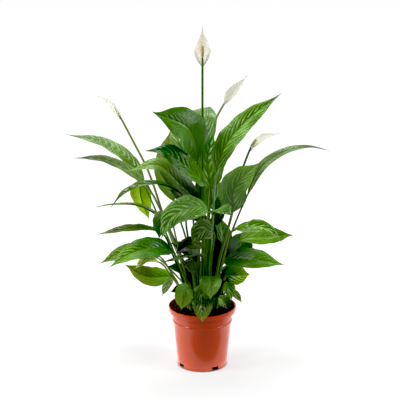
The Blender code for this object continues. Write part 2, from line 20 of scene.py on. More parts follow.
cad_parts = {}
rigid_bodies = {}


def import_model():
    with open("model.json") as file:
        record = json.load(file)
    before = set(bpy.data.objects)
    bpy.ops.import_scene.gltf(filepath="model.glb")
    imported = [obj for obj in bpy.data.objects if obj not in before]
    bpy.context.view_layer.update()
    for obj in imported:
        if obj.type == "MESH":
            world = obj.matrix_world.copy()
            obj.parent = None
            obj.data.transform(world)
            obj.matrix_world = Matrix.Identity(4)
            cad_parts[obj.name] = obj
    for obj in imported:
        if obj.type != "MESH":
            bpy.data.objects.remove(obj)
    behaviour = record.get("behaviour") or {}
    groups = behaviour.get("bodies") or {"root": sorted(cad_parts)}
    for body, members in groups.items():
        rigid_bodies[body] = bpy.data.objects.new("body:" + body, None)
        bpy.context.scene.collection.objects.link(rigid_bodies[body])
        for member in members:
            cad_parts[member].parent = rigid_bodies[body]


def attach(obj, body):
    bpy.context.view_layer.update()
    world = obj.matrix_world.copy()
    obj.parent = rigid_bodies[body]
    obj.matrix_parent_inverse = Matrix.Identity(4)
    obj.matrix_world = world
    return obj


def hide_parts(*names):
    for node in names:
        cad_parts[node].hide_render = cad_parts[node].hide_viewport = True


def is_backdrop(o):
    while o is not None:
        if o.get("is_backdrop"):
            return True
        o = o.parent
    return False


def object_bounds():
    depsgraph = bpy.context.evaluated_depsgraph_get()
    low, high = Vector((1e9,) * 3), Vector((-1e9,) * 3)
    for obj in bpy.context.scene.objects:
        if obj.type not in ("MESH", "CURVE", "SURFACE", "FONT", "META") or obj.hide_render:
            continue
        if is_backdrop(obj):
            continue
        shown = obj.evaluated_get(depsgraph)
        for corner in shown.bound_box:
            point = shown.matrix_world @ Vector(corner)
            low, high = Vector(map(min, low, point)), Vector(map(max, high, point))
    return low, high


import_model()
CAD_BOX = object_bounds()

LOG = logging.getLogger("potted_peace_lily")
BODY = "root"

Point = tuple[float, float, float]
Colour = tuple[float, float, float]
Plug = Any  # a Value, a number or a tuple that goes into a shader's socket


# --------------------------------------------------------------------------- shader expressions


class Value:
    """One output of a shader node that takes Python's operators."""

    def __init__(self, shader: "Shader", socket: bpy.types.NodeSocket) -> None:
        """Wrap a socket of this shader."""
        self.shader = shader
        self.socket = socket

    def maths(self, operation: str, *others: Plug) -> "Value":
        """A Math node on this value and up to two more."""
        inputs = dict(enumerate((self, *others)))
        return self.shader.node("ShaderNodeMath", {"operation": operation}, inputs)

    def __add__(self, other: Plug) -> "Value":
        """Self + other."""
        return self.maths("ADD", other)

    __radd__ = __add__

    def __mul__(self, other: Plug) -> "Value":
        """Self * other."""
        return self.maths("MULTIPLY", other)

    __rmul__ = __mul__

    def __sub__(self, other: Plug) -> "Value":
        """Self - other."""
        return self.maths("SUBTRACT", other)

    def __rsub__(self, other: Plug) -> "Value":
        """Other - self."""
        return (self * -1) + other

    def __pow__(self, other: Plug) -> "Value":
        """Self ** other."""
        return self.maths("POWER", other)

    def wave(self) -> "Value":
        """A cosine from 0 to 1 that peaks where this value is a whole number."""
        return (self * math.tau).maths("COSINE") * 0.5 + 0.5

    def step(self, low: float, high: float, start: float = 0.0, end: float = 1.0) -> "Value":
        """A smooth step.

        Args:
            low: Where the step starts.
            high: Where it ends.
            start: The result up to low.
            end: The result past high.

        Returns:
            The stepped value.
        """
        inputs = {"Value": self, "From Min": low, "From Max": high, "To Min": start, "To Max": end}
        settings = {"interpolation_type": "SMOOTHSTEP", "clamp": True}
        return self.shader.node("ShaderNodeMapRange", settings, inputs, "Result")


class Shader:
    """The nodes of a material or of the world, under construction."""

    def __init__(self, name: str, world: bool = False) -> None:
        """Start an empty tree.

        Args:
            name: The material's name.
            world: Whether it is a world instead.
        """
        self.owner = (bpy.data.worlds if world else bpy.data.materials).new(name)
        self.owner.use_nodes = True
        self.tree = self.owner.node_tree
        self.tree.nodes.clear()

    def node(
        self,
        kind: str,
        settings: dict[str, Any] | None = None,
        inputs: dict[str | int, Plug] | None = None,
        output: str | int = 0,
    ) -> Value:
        """Add a node.

        Args:
            kind: The node's type.
            settings: Its properties, which are set first.
            inputs: Values or links of its sockets, by name or number.
            output: The output that is returned.

        Returns:
            That output as a value.
        """
        made = self.tree.nodes.new(kind)
        for key, setting in (settings or {}).items():
            setattr(made, key, setting)
        for key, plug in (inputs or {}).items():
            socket = self._socket(made.inputs, key)
            if isinstance(plug, Value):
                self.tree.links.new(plug.socket, socket)
            elif isinstance(plug, tuple) and socket.type == "RGBA":
                socket.default_value = (*plug, 1.0)
            else:
                socket.default_value = plug
        return Value(self, self._socket(made.outputs, output))

    @staticmethod
    def _socket(sockets: Any, key: str | int) -> bpy.types.NodeSocket:
        """The socket of this number, or the enabled one of this name."""
        named = (s for s in sockets if s.name == key and s.enabled)
        return sockets[key] if isinstance(key, int) else next(named)

    def attribute(self, name: str, output: str) -> Value:
        """A named attribute of the mesh."""
        return self.node("ShaderNodeAttribute", {"attribute_name": name}, None, output)

    def parts_of(self, vector: Value) -> list[Value]:
        """The three numbers of a vector."""
        split = self.node("ShaderNodeSeparateXYZ", None, {0: vector}).socket.node
        return [Value(self, output) for output in split.outputs]

    def joined(self, *numbers: Plug) -> Value:
        """A vector of up to three numbers."""
        return self.node("ShaderNodeCombineXYZ", None, dict(enumerate(numbers)))

    def vector(
        self, operation: str, inputs: dict[str | int, Plug], output: str | int = 0
    ) -> Value:
        """A Vector Math node."""
        return self.node("ShaderNodeVectorMath", {"operation": operation}, inputs, output)

    def place(self, stretch: Point = (1, 1, 1)) -> Value:
        """Object coordinates in metres, scaled along each axis."""
        where = self.node("ShaderNodeTexCoord", None, None, "Object")
        return self.vector("MULTIPLY", {0: where, 1: stretch})

    def noise(self, where: Value, scale: float, detail: float = 2.0, rough: float = 0.5) -> Value:
        """Cloudy noise from 0 to 1."""
        inputs = {"Vector": where, "Scale": scale, "Detail": detail, "Roughness": rough}
        return self.node("ShaderNodeTexNoise", None, inputs, "Fac")

    def mix(self, first: Plug, second: Plug, share: Plug) -> Value:
        """A mix of two colours."""
        inputs = {"Factor": share, "A": first, "B": second}
        return self.node("ShaderNodeMix", {"data_type": "RGBA"}, inputs, "Result")

    def lit(self, colour: Value, gain: Value) -> Value:
        """A colour made brighter or darker by a number."""
        return self.vector("SCALE", {0: colour, "Scale": gain})

    def bump(self, height: Value, depth: float, below: Value | None = None) -> Value:
        """A bumped normal.

        Args:
            height: The height from 0 to 1.
            depth: What a height of 1 measures, in metres.
            below: A normal that this one is laid over.

        Returns:
            The normal.
        """
        inputs: dict[str | int, Plug] = {"Height": height, "Distance": depth, "Strength": 1.0}
        if below is not None:
            inputs["Normal"] = below
        return self.node("ShaderNodeBump", None, inputs)

    def principled(self, inputs: dict[str | int, Plug]) -> Value:
        """A Principled surface."""
        return self.node("ShaderNodeBsdfPrincipled", None, inputs)

    def thin(self, front: Value, through: Colour, share: float) -> Value:
        """A surface that also lets a share of some coloured light through."""
        behind = self.node("ShaderNodeBsdfTranslucent", None, {"Color": through})
        return self.node("ShaderNodeMixShader", None, {0: share, 1: front, 2: behind})

    def finish(self, surface: Value) -> Any:
        """Join the surface to an output.

        Args:
            surface: What the output shows.

        Returns:
            The finished material or world.
        """
        kind = "World" if isinstance(self.owner, bpy.types.World) else "Material"
        made = self.tree.nodes.new(f"ShaderNodeOutput{kind}")
        self.tree.links.new(surface.socket, made.inputs["Surface"])
        return self.owner


# --------------------------------------------------------------------------- finishes


@dataclass(frozen=True)
class BladeFinish:
    """A leaf blade's surface: veins, gloss, bands of painted sheen between the veins, and how much
    light it lets through.
    """

    name: str
    stripe: float  # painted sheen: how much paler the bands between its veins are
    roughness: float
    through: float  # how much light it lets through
    glow: Colour = (0.20, 0.42, 0.02)  # colour of that light
    under: bool = False  # the leaf's underside
    rib_tint: Colour = (0.34, 0.50, 0.08)
    margin_tint: Colour = (0.40, 0.55, 0.16)
    under_tint: Colour = (0.16, 0.26, 0.08)
    relief: float = 0.00035

    def make(self) -> bpy.types.Material:
        """Build the material.

        Returns:
            The material, which reads the mesh's "tone" and "vein" attributes.
        """
        s = Shader(self.name)
        tone = s.attribute("tone", "Color")
        # place between the side veins, off the midrib and along the blade
        phase, across, along = s.parts_of(s.attribute("vein", "Vector"))
        cloud = s.noise(s.place(), 28, 3)
        speck = s.noise(s.place(), 420, 2)
        # bands of painted sheen between the side veins, the vein lines, and the fine veins within
        # them
        sheen_band = (1 - phase.wave()) ** 2.5
        uneven = s.noise(s.joined(phase * 0.9, tone), 1.0, 1)
        inner = across.step(0.02, 0.16) * across.step(0.8, 1.0, 1.0, 0.0)
        fade = along.step(0.0, 0.12) * along.step(0.86, 1.0, 1.0, 0.2)
        patchy = cloud.step(0.35, 0.62, 0.25, 1.0)
        stripe = sheen_band * inner * fade * patchy * uneven.step(0.3, 0.6, 0.2, 1.3) * self.stripe
        line = phase.wave() ** 18
        fine = (phase * 5).wave()
        # the midrib and the paler margin
        rib = across.step(0.012, 0.05, 1.0, 0.0)
        margin = across.step(0.965, 1.0)
        gain = (cloud - 0.5) * 0.7 + (speck - 0.5) * 0.25 + (fine - 0.5) * 0.1 + 1
        # painted shade: on the upper side the vein grooves are painted darker; on the underside the
        # raised veins are paler, their own colour
        gain = gain - line * inner * (0.16 if not self.under else -0.2)
        base = s.lit(tone, gain)
        # painted sheen: the bands between the veins are made paler
        base = s.lit(base, stripe * 1.1 + 0.85)
        base = s.mix(base, s.mix(tone, self.rib_tint, 0.4), rib * 0.6)
        base = s.mix(base, s.mix(tone, self.margin_tint, 0.3), margin * 0.5)
        if self.under:
            base = s.mix(base, self.under_tint, 0.25)
        rough = (cloud - 0.5) * 0.25 + (speck - 0.5) * 0.1 + self.roughness
        height = (1 - phase.wave() ** 6) * inner * 0.7 + fine * 0.12 + speck * 0.1
        inputs = {
            "Base Color": base,
            "Roughness": rough,
            "IOR": 1.45,
            "Specular IOR Level": 0.2 if self.under else 0.5,
            "Normal": s.bump(height, self.relief),
        }
        return s.finish(s.thin(s.principled(inputs), self.glow, self.through))


@dataclass(frozen=True)
class StalkFinish:
    """A petiole or flower stalk: streaked along its length, paler towards the soil."""

    name: str
    foot: Colour
    pale: float  # how far up the pale foot reaches, as a share of the stalk
    dry: Colour = (0.09, 0.05, 0.02)  # the old sheath at the soil
    roughness: float = 0.5
    relief: float = 0.0002

    def make(self) -> bpy.types.Material:
        """Build the material.

        Returns:
            The material, which reads the mesh's "tone" and "vein" attributes.
        """
        s = Shader(self.name)
        tone = s.attribute("tone", "Color")
        around, length, share = s.parts_of(s.attribute("vein", "Vector"))
        streak = s.noise(s.joined(around * 6, length * 14, share), 3.0, 3)
        cloud = s.noise(s.place(), 60, 2)
        low = share.step(self.pale * 0.25, self.pale, 1.0, 0.0)
        base = s.mix(tone, self.foot, low * 0.75)
        base = s.lit(base, (streak - 0.5) * 0.6 + (cloud - 0.5) * 0.2 + 1)
        bottom = share.step(0.03, 0.1, 1.0, 0.0)
        base = s.mix(base, self.dry, bottom * streak.step(0.4, 0.6))
        height = (around * 9).wave() * 0.5 + streak * 0.5
        inputs = {
            "Base Color": base,
            "Roughness": (streak - 0.5) * 0.2 + self.roughness,
            "Specular IOR Level": 0.22,
            "Normal": s.bump(height, self.relief),
        }
        return s.finish(s.principled(inputs))


@dataclass(frozen=True)
class SpatheFinish:
    """The white leaf of a flower: chalky, faintly veined, and bright with light behind it."""

    name: str = "spathe_white"
    body: Colour = (0.97, 0.96, 0.91)
    shade: Colour = (0.80, 0.80, 0.70)
    vein: Colour = (0.66, 0.70, 0.50)
    green: Colour = (0.58, 0.68, 0.34)  # of its base, its midrib and its tip
    through: float = 0.52  # how much light it lets through
    glow: Colour = (0.98, 0.97, 0.90)  # colour of that light
    relief: float = 0.0003

    def make(self) -> bpy.types.Material:
        """Build the material.

        Returns:
            The material, which reads the mesh's "vein" attribute.
        """
        s = Shader(self.name)
        phase, across, along = s.parts_of(s.attribute("vein", "Vector"))
        cloud = s.noise(s.place(), 55, 1)
        line = phase.wave() ** 8
        calm = along.step(0.45, 0.85, 0.8, 0.0)
        ends = along.step(0.0, 0.16, 1.0, 0.0) * 0.75 + along.step(0.8, 1.0) * 0.35
        rib = across.step(0.02, 0.09, 1.0, 0.0) * along.step(0.2, 0.9, 1.0, 0.15)
        base = s.mix(self.body, self.shade, cloud.step(0.35, 0.75) * 0.35)
        base = s.mix(base, self.vein, line * calm * 0.25)
        base = s.mix(base, self.green, ends * 0.7)
        base = s.mix(base, self.green, rib * 0.35)
        inputs = {
            "Base Color": base,
            "Roughness": (cloud - 0.5) * 0.2 + 0.55,
            "Specular IOR Level": 0.35,
            "Normal": s.bump(cloud, self.relief),
        }
        return s.finish(s.thin(s.principled(inputs), self.glow, self.through))


@dataclass(frozen=True)
class SpadixFinish:
    """The flower spike: pale florets with darker gaps between them."""

    name: str
    body: Colour
    gap: Colour
    foot: Colour = (0.36, 0.40, 0.14)
    relief: float = 0.0002

    def make(self) -> bpy.types.Material:
        """Build the material.

        Returns:
            The material, which reads the mesh's "vein" attribute.
        """
        s = Shader(self.name)
        floret, _, along = s.parts_of(s.attribute("vein", "Vector"))
        cloud = s.noise(s.place(), 300, 3)
        base = s.mix(self.gap, self.body, floret.step(0.1, 0.6))
        base = s.mix(base, self.foot, along.step(0.0, 0.25, 0.5, 0.0))
        base = s.lit(base, (cloud - 0.5) * 0.5 + 1)
        inputs = {"Base Color": base, "Roughness": 0.62, "Normal": s.bump(cloud, self.relief)}
        return s.finish(s.principled(inputs))


@dataclass(frozen=True)
class PotFinish:
    """Satin moulded plastic in a terracotta colour, with scuffs, dust and a flow pattern."""

    name: str = "terracotta_plastic"
    body: Colour = (0.60, 0.076, 0.022)
    worn: Colour = (0.64, 0.12, 0.05)
    dust: Colour = (0.66, 0.13, 0.055)
    roughness: float = 0.15
    relief: float = 0.00025
    grain: float = 0.00003

    def make(self) -> bpy.types.Material:
        """Build the material.

        Returns:
            The material.
        """
        s = Shader(self.name)
        where = s.place()
        _, _, height = s.parts_of(where)
        cloud = s.noise(where, 22, 4)
        grain = s.noise(where, 900, 2)
        # streaks up the wall from the moulding, and short scuffs round it
        flow = s.noise(s.place((1, 1, 0.12)), 160, 3)
        scuff = s.noise(s.place((1, 1, 5)), 120, 4, 0.7).step(0.62, 0.74)
        low = height.step(0.0, 0.022, 1.0, 0.0) * cloud.step(0.35, 0.7)
        base = s.mix(self.body, self.worn, cloud.step(0.4, 0.8) * 0.18)
        base = s.mix(base, self.worn, scuff * 0.25)
        base = s.mix(base, self.dust, low * 0.35)
        base = s.lit(base, (flow - 0.5) * 0.12 + (grain - 0.5) * 0.06 + 1)
        rough = (cloud - 0.5) * 0.08 + scuff * 0.10 + low * 0.12 + self.roughness
        below = s.bump(flow * 0.6 + cloud * 0.4, self.relief)
        inputs = {
            "Base Color": base,
            "Roughness": rough,
            "Specular IOR Level": 0.5,
            "Normal": s.bump(grain, self.grain, below),
        }
        return s.finish(s.principled(inputs))


@dataclass(frozen=True)
class SoilFinish:
    """Moist potting compost, from near-black peat to red-brown bark."""

    name: str = "moist_compost"
    peat: Colour = (0.010, 0.006, 0.005)
    bark: Colour = (0.085, 0.024, 0.014)
    damp: Colour = (0.028, 0.012, 0.009)
    relief: float = 0.0012

    def make(self) -> bpy.types.Material:
        """Build the material.

        Returns:
            The material, which reads the mesh's "vein" attribute for its tint.
        """
        s = Shader(self.name)
        tint, _, _ = s.parts_of(s.attribute("vein", "Vector"))
        cloud = s.noise(s.place(), 240, 4, 0.65)
        fleck = s.noise(s.place(), 900, 2)
        base = s.mix(self.peat, self.bark, tint)
        base = s.mix(base, self.damp, cloud.step(0.45, 0.7) * 0.6)
        base = s.lit(base, (fleck - 0.5) * 1.1 + 1)
        inputs = {
            "Base Color": base,
            "Roughness": (cloud - 0.5) * 0.3 + 0.82,
            "Specular IOR Level": 0.35,
            "Normal": s.bump(cloud * 0.7 + fleck * 0.3, self.relief),
        }
        return s.finish(s.principled(inputs))


@dataclass(frozen=True)
class FloorFinish:
    """A plain pale studio floor that glows, with a painted contact shadow under the pot."""

    name: str = "pale_floor"
    body: Colour = (0.22, 0.22, 0.22)
    white: Colour = (1.0, 1.0, 1.0)
    shade: Colour = (0.02, 0.02, 0.02)  # painted shadow: the floor's glow under the pot
    light: float = 0.92  # of the light that comes up through it
    dark: tuple[float, float] = (0.0435, 0.0515)  # where the painted contact shadow round the pot ends
    edge: tuple[float, float] = (-0.090, -0.078)  # where the lit table stops in front
    slant: float = 0.28  # of that edge, to the right and back
    front: float = 0.2  # light that comes off the floor in front of it
    sides: float = 1.15  # and off the rest of it
    shown: float = 0.785  # of its own light near the pot, where the lamps light it as well
    hall: tuple[float, float] = (0.10, 0.50)  # where that ends and the bare floor begins

    def make(self) -> bpy.types.Material:
        """Build the material.

        Returns:
            The material.
        """
        s = Shader(self.name)
        where = s.place()
        cloud = s.noise(where, 3, 2)
        reach = s.vector("LENGTH", {0: where}, "Value")
        # painted shadow: the glow fades to near black under the pot and round its foot
        glow = s.mix(self.shade, self.white, reach.step(*self.dark))
        width, depth, _ = s.parts_of(where)
        seen = s.node("ShaderNodeLightPath", None, None, "Is Camera Ray")
        lit = (depth - width * self.slant).step(*self.edge, self.front, self.sides)
        near = reach.step(*self.hall, self.shown, 1.0)
        glow = s.lit(glow, lit * (1 - seen) + seen * near)
        inputs = {
            "Base Color": self.body,
            "Roughness": (cloud - 0.5) * 0.05 + 0.8,
            "Specular IOR Level": 0.0,
            "Emission Color": glow,
            "Emission Strength": self.light,
        }
        return s.finish(s.principled(inputs))


@dataclass(frozen=True)
class Growth:
    """How one kind of leaf on the plant has grown."""

    finish: BladeFinish
    ruck: float  # height of the folds between its side veins
    spacing: float  # between side veins, along the midrib
    wave: float  # waviness of its margin, against its half width
    droop: float  # how far its margins bend down, against its half width


class Look(Enum):
    """The kinds of leaf."""

    SMOOTH = Growth(BladeFinish("leaf_smooth", 0.25, 0.27, 0.08), 0.0004, 0.013, 0.02, 0.02)
    VEINED = Growth(BladeFinish("leaf_veined", 0.6, 0.28, 0.16), 0.0009, 0.014, 0.04, 0.02)
    STRIPED = Growth(BladeFinish("leaf_striped", 0.85, 0.24, 0.18), 0.0010, 0.016, 0.05, 0.03)
    QUILTED = Growth(BladeFinish("leaf_quilted", 1.2, 0.27, 0.20), 0.0019, 0.016, 0.07, 0.06)
    SHEER = Growth(BladeFinish("leaf_sheer", 0.3, 0.40, 0.55), 0.0005, 0.013, 0.03, 0.02)


UNDERSIDE = BladeFinish("leaf_underside", 0.3, 0.6, 0.16, under=True)
PETIOLE = StalkFinish("petiole", (0.34, 0.45, 0.10), 0.3)
FLOWER_STALK = StalkFinish("flower_stalk", (0.22, 0.34, 0.08), 0.2)
SPATHE = SpatheFinish()


# --------------------------------------------------------------------------- shapes


def unit(vectors: np.ndarray) -> np.ndarray:
    """Vectors of length 1 along the last axis."""
    return vectors / np.linalg.norm(vectors, axis=-1, keepdims=True).clip(1e-9)


def direction(azimuth: np.ndarray | float, elevation: np.ndarray | float) -> np.ndarray:
    """Unit vectors for azimuths from +X and elevations from the floor, in degrees."""
    a, e = np.radians(azimuth), np.radians(elevation)
    return np.stack([np.cos(a) * np.cos(e), np.sin(a) * np.cos(e), np.sin(e)], -1)


def smooth(value: np.ndarray | float, low: float, high: float) -> np.ndarray:
    """A smooth step from 0 at low to 1 at high."""
    share = np.clip((np.asarray(value, float) - low) / (high - low), 0, 1)
    return share * share * (3 - 2 * share)


def across_heading(face: np.ndarray, heading: np.ndarray) -> np.ndarray:
    """The part of a direction that stands square on a heading, as a unit vector."""
    return unit(face - heading * (face * heading).sum(-1, keepdims=True))


def woven(*parts: np.ndarray | float) -> np.ndarray:
    """Numbers spread over one grid and set side by side along a last axis."""
    return np.stack(np.broadcast_arrays(*parts), -1)


def tube(
    centre: np.ndarray, side: np.ndarray, up: np.ndarray, wide: np.ndarray, high: np.ndarray
) -> np.ndarray:
    """Rings of points round a line.

    Args:
        centre: The middle of each ring.
        side: A direction across each ring, or one for all of them.
        up: The direction square on it.
        wide: How far each point of a ring stands off along the side.
        high: And how far along the other direction.

    Returns:
        The points, ring by ring.
    """
    across = side[..., None, :] * wide[..., None]
    return centre[:, None] + across + up[..., None, :] * high[..., None]


def show(made: bpy.types.Object) -> bpy.types.Object:
    """Link an object to the scene."""
    bpy.context.scene.collection.objects.link(made)
    return made


def poured(name: str, bm: bmesh.types.BMesh) -> bpy.types.Object:
    """An object made of a mesh under construction, which isn't in the scene yet.

    Args:
        name: Its name.
        bm: The mesh, which is used up.

    Returns:
        The object.
    """
    mesh = bpy.data.meshes.new(name)
    bm.to_mesh(mesh)
    bm.free()
    return bpy.data.objects.new(name, mesh)


class Course:
    """A smooth curve through places, read at lengths along it."""

    STEPS = 24  # straight pieces between two of the places
    REACH = 0.0015  # over which a heading is read

    def __init__(self, places: Sequence[Sequence[float]]) -> None:
        """Lay the curve.

        Args:
            places: The places it passes.
        """
        points = [np.array(place, float) for place in places]
        ends = [2 * points[0] - points[1], *points, 2 * points[-1] - points[-2]]
        slopes = []
        for before, here, after in zip(ends, ends[1:], ends[2:]):
            come, leave = here - before, after - here
            near, far = np.linalg.norm(come), np.linalg.norm(leave)
            slopes.append((come / near * far + leave / far * near) / (near + far))
        line = []
        t = np.arange(self.STEPS)[:, None] / self.STEPS
        for a, b, slope_a, slope_b in zip(points, points[1:], slopes, slopes[1:]):
            span = np.linalg.norm(b - a)
            line.append(
                a * (2 * t**3 - 3 * t**2 + 1)
                + slope_a * span * (t**3 - 2 * t**2 + t)
                + b * (3 * t**2 - 2 * t**3)
                + slope_b * span * (t**3 - t**2)
            )
        self.line = np.vstack([*line, points[-1]])
        steps = np.linalg.norm(np.diff(self.line, axis=0), axis=1)
        self.far = np.concatenate([[0.0], np.cumsum(steps)])

    @property
    def length(self) -> float:
        """The whole length."""
        return float(self.far[-1])

    def length_at(self, mark: int) -> float:
        """Length up to one of the places the curve was made through."""
        return float(self.far[mark * self.STEPS])

    def places(self, lengths: np.ndarray | float) -> np.ndarray:
        """Places at these lengths."""
        return np.stack([np.interp(lengths, self.far, self.line[:, i]) for i in range(3)], -1)

    def headings(self, lengths: np.ndarray | float) -> np.ndarray:
        """Directions of travel at these lengths."""
        ahead = self.places(np.minimum(lengths + self.REACH, self.length))
        return unit(ahead - self.places(np.maximum(lengths - self.REACH, 0)))


class Tissue:
    """A mesh put together from closed shells and tubes, with what its material reads."""

    CREASE = 55.0  # edges that turn by more stay sharp

    def __init__(self) -> None:
        """Start with nothing."""
        self.points: list[np.ndarray] = []
        self.veins: list[np.ndarray] = []
        self.tones: list[np.ndarray] = []
        self.faces: list[list[int]] = []
        self.slots: list[int] = []
        self.count = 0

    def _add(self, points: np.ndarray, veins: np.ndarray, tone: Colour | np.ndarray) -> int:
        """Add points.

        Args:
            points: The points.
            veins: What the material reads at each of them.
            tone: Their colour, or one for each.

        Returns:
            The number of the first.
        """
        start = self.count
        flat = points.reshape(-1, 3)
        self.points.append(flat)
        self.veins.append(veins.reshape(-1, 3))
        body = np.broadcast_to(tone, points.shape).reshape(-1, 3)
        self.tones.append(np.hstack([body, np.ones((len(flat), 1))]))
        self.count += len(flat)
        return start

    def loop(
        self,
        rings: np.ndarray,
        veins: np.ndarray,
        tone: Colour | np.ndarray,
        slots: int | Sequence[int] = 0,
    ) -> None:
        """Add a closed body through rings of points.

        Args:
            rings: Points, ring by ring, each ring turning so that the body faces out.
            veins: What the material reads at each point.
            tone: The body's colour, or one for each point.
            slots: Material slot of each face around a ring; the caps take the first.
        """
        rows, around = rings.shape[:2]
        ring_slots = np.broadcast_to(slots, around).tolist()
        start = self._add(rings, veins, tone)
        i = np.arange(around)
        j = (i + 1) % around
        for row in range(rows - 1):
            low = start + row * around
            high = low + around
            self.faces += np.stack([low + i, low + j, high + j, high + i], -1).tolist()
            self.slots += ring_slots
        last = start + (rows - 1) * around
        for base, turn in ((start, 1), (last, -1)):
            for k in range(around // 2 - 1):
                cap = [base + k, base + around - 1 - k, base + around - 2 - k, base + k + 1]
                self.faces.append(cap[::turn])
                self.slots.append(ring_slots[0])

    def sheet(
        self, top: np.ndarray, under: np.ndarray, veins: np.ndarray, tone: Colour | np.ndarray
    ) -> None:
        """Add a thin closed shell: an upper side in slot 0 and an under side in slot 1.

        Args:
            top: The upper side's points, row by row.
            under: The under side's.
            veins: What the material reads at each point of one side.
            tone: The shell's colour, or one for each row.
        """
        rings = np.concatenate([top, under[:, ::-1]], 1)
        both = np.concatenate([veins, veins[:, ::-1]], 1)
        wide = top.shape[1]
        self.loop(rings, both, tone, [0] * wide + [1] * (wide - 1) + [0])

    def loose(self, points: np.ndarray, faces: Iterable[Sequence[int]], tint: float) -> None:
        """Add a body given as points and faces.

        Args:
            points: Its points.
            faces: Its faces, as numbers of points.
            tint: What its material reads.
        """
        start = self._add(points, np.tile((tint, 0.0, 0.0), (len(points), 1)), (1, 1, 1))
        for face in faces:
            self.faces.append([start + i for i in face])
            self.slots.append(0)

    def piece(self, name: str, *finishes: bpy.types.Material) -> bpy.types.Object:
        """Make the object.

        Args:
            name: Its name.
            finishes: Its material slots.

        Returns:
            The object, linked to the scene.
        """
        mesh = bpy.data.meshes.new(name)
        mesh.from_pydata(np.vstack(self.points).tolist(), [], self.faces)
        vein = mesh.attributes.new("vein", "FLOAT_VECTOR", "POINT")
        vein.data.foreach_set("vector", np.vstack(self.veins).astype(np.float32).ravel())
        tone = mesh.attributes.new("tone", "FLOAT_COLOR", "POINT")
        tone.data.foreach_set("color", np.vstack(self.tones).astype(np.float32).ravel())
        for finish in finishes:
            mesh.materials.append(finish)
        mesh.polygons.foreach_set("material_index", self.slots)
        mesh.shade_smooth()
        mesh.set_sharp_from_angle(angle=math.radians(self.CREASE))
        mesh.validate()
        return show(bpy.data.objects.new(name, mesh))


def settle(piece: bpy.types.Object, *nodes: str) -> bpy.types.Object:
    """Let a piece ride on the plant's body in place of CAD nodes.

    Args:
        piece: The new piece.
        nodes: The CAD nodes it stands for, which it hides.

    Returns:
        The piece.
    """
    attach(piece, BODY)
    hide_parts(*nodes)
    LOG.info("%s stands for %s", piece.name, ", ".join(nodes))
    return piece


# --------------------------------------------------------------------------- crown and leaves


@dataclass(frozen=True)
class Crown:
    """Where stalks stand in the soil: a staggered grid on its domed top."""

    step: float = 0.009  # between the stalks of a row
    row: float = 0.008  # between the rows
    edge: float = 0.1165  # height of the soil at the pot's wall
    top: float = 0.118  # and in its middle
    reach: float = 0.060  # radius of that dome
    socket: float = 0.010  # how deep a stalk stands

    def soil_height(self, x: float, y: float) -> float:
        """Height of the soil's top over a place on the floor."""
        reach = min(1.0, math.hypot(x, y) / self.reach)
        return self.top - (self.top - self.edge) * reach**2

    def foot(self, column: float, row: int) -> np.ndarray:
        """Where a stalk leaves the soil.

        Args:
            column: Its column, or a place between two.
            row: Its row; odd rows are shifted by half a step.

        Returns:
            The place.
        """
        x = (column + 0.5 * (row % 2)) * self.step
        y = row * self.row
        return np.array([x, y, self.soil_height(x, y)])


CROWN = Crown()


